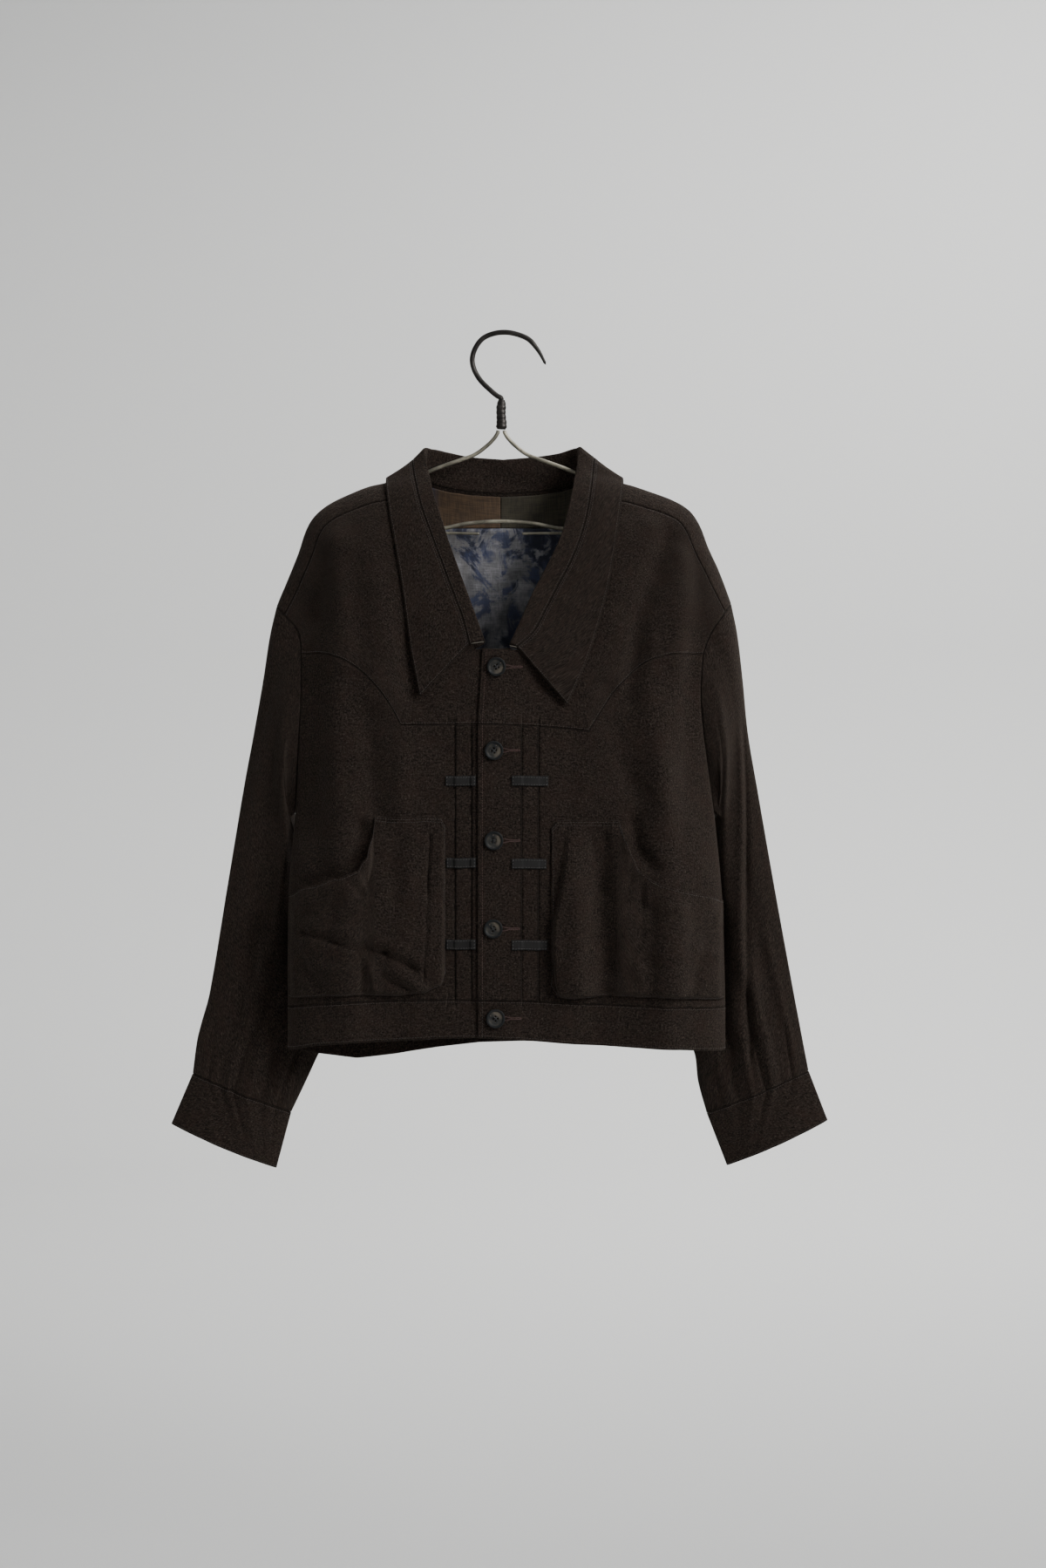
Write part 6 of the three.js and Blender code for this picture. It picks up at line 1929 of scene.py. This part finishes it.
class JACKET_OT_fuzz(JacketOperator):
    """Loose fibres that stand off the wool"""

    bl_idname = "jacket.fuzz"
    bl_label = "Fuzz"

    def build(self, sizes, stage):
        draw = np.random.default_rng(31)
        pieces = [*shell_pieces().values(), *(laid_piece(f"pocket_{s}") for s in SIDES)]
        points, normals, weight = [], [], []
        for piece in pieces:
            corner = piece.faces
            area = np.linalg.norm(np.cross(
                piece.points[corner[:, 2]] - piece.points[corner[:, 0]],
                piece.points[corner[:, 3]] - piece.points[corner[:, 1]]), axis=1)
            mix = draw.dirichlet(np.ones(4), len(corner))[..., None]
            points.append((piece.outer[corner] * mix).sum(1))
            normals.append(unit((piece.normals[corner] * mix).sum(1)))
            weight.append(area)
        points, normals, weight = map(np.concatenate, (points, normals, weight))
        chosen = draw.choice(len(points), sizes.fuzz, p=weight / weight.sum())
        root, n = points[chosen], normals[chosen]
        root = root + draw.normal(0, 0.8, root.shape) * (1 - np.abs(n))
        lean = unit(n * 0.55 + draw.normal(0, 0.5, n.shape))
        curl = unit(lean + draw.normal(0, 0.6, n.shape))
        long = draw.gamma(2.2, 0.42, len(root))[:, None]
        wide = unit(np.cross(lean, draw.normal(0, 1, n.shape))) * 0.045
        middle, tip = root + lean * long * 0.55, root + (lean + curl) * long * 0.5
        mesh = bpy.data.meshes.new("fuzz")
        body = np.stack([root - wide, root + wide, middle + wide, middle - wide, tip], 1)
        start = np.arange(len(root))[:, None] * 5
        quads, ends = start + np.array([0, 1, 2, 3]), start + np.array([3, 2, 4])
        mesh.from_pydata((body.reshape(-1, 3) * MM).tolist(), [],
                         quads.tolist() + ends.tolist())
        f = Finish("fuzz")
        tone = f.noise(f.place(), 300.0, 1.0).step(0.4, 0.65)
        f.set(Base_Color=f.mix(tone, shade("wool", 1.8), shade("wool_light", 0.8)),
              Roughness=0.8)
        add_piece("wool_fuzz", mesh, f.material, "wool")


def soft_light(name, place_at, size, power, target=(0.0, 0.0, -0.48), beam=math.pi):
    lamp = bpy.data.lights.new(name, "AREA")
    lamp.energy, lamp.size, lamp.shape, lamp.spread = power, size, "DISK", beam
    thing = link(name, lamp)
    thing.location = place_at
    direction = Vector(target) - Vector(place_at)
    thing.rotation_euler = direction.to_track_quat("-Z", "Y").to_euler()
    thing.visible_camera = False


class JACKET_OT_stage(JacketOperator):
    """A pale round room with soft light, and the camera"""

    bl_idname = "jacket.stage"
    bl_label = "Stage"

    def build(self, sizes, stage):
        low, reach, cove, top, turns = stage.floor_drop, 4.8, 1.4, 4.2, 96
        profile = [(0.6, low), (reach - cove, low)]
        profile += [(reach - cove + cove * math.sin(a), low + cove - cove * math.cos(a))
                    for a in np.linspace(0, math.pi / 2, 14)[1:]]
        profile.append((reach, top))
        points = [(r * math.cos(a), r * math.sin(a), h) for r, h in profile
                  for a in circle(turns)]
        room = link("room", mesh_of("room", points, tube_faces(len(profile), turns)[:-1], 1))
        room.data.materials.append(room_finish())
        soft_light("key", (2.36, -2.15, 1.03), 1.6, stage.key, beam=1.2)
        soft_light("fill", (-2.2, -2.2, 0.3), 2.4, stage.fill)
        soft_light("wall", (1.5, 1.6, 2.6), 2.5, stage.wall, (0.7, 4.2, -1.3), 2.4)
        world = bpy.data.worlds.new("air")
        world.use_nodes = True
        air = world.node_tree.nodes["Background"].inputs
        air["Color"].default_value = (0.95, 0.97, 1, 1)
        air["Strength"].default_value = stage.air
        bpy.context.scene.world = world
        camera = bpy.data.cameras.new("camera")
        camera.sensor_fit = "VERTICAL"
        camera.sensor_height = camera.sensor_width = 36
        camera.lens, camera.clip_end = stage.lens, 60
        thing = link("camera", camera)
        thing.location = stage.camera
        thing.rotation_euler = (math.pi / 2, 0, 0)
        bpy.context.scene.camera = thing


# ---------------------------------------------------------------- panel and registration


class JacketSettings(bpy.types.PropertyGroup):
    """All settings of the jacket."""

    sizes: bpy.props.PointerProperty(type=JacketSizes)
    colours: bpy.props.PointerProperty(type=JacketColours)
    stage: bpy.props.PointerProperty(type=JacketStage)


ORDER = (JACKET_OT_body, JACKET_OT_sleeves, JACKET_OT_collar, JACKET_OT_pockets,
         JACKET_OT_tabs, JACKET_OT_inside, JACKET_OT_sewing, JACKET_OT_buttons,
         JACKET_OT_hanger, JACKET_OT_fuzz, JACKET_OT_stage)


class JACKET_PT_panel(bpy.types.Panel):
    """Lists the jacket's pieces and settings."""

    bl_idname = "JACKET_PT_panel"
    bl_label = "Work Jacket"
    bl_space_type = "VIEW_3D"
    bl_region_type = "UI"
    bl_category = "Jacket"

    def draw(self, context):
        for operator in ORDER:
            self.layout.operator(operator.bl_idname)
        for group in ("sizes", "colours", "stage"):
            box = self.layout.box()
            settings = getattr(context.scene.jacket, group)
            for name in settings.__annotations__:
                box.prop(settings, name)


CLASSES = (JacketSizes, JacketColours, JacketStage, JacketSettings, *ORDER, JACKET_PT_panel)


def register():
    for found in CLASSES:
        bpy.utils.register_class(found)
    bpy.types.Scene.jacket = bpy.props.PointerProperty(type=JacketSettings)


def unregister():
    del bpy.types.Scene.jacket
    for found in reversed(CLASSES):
        bpy.utils.unregister_class(found)


def main():
    register()
    for operator in ORDER:
        group, name = operator.bl_idname.split(".")
        getattr(getattr(bpy.ops, group), name)()


if __name__ == "__main__":
    main()
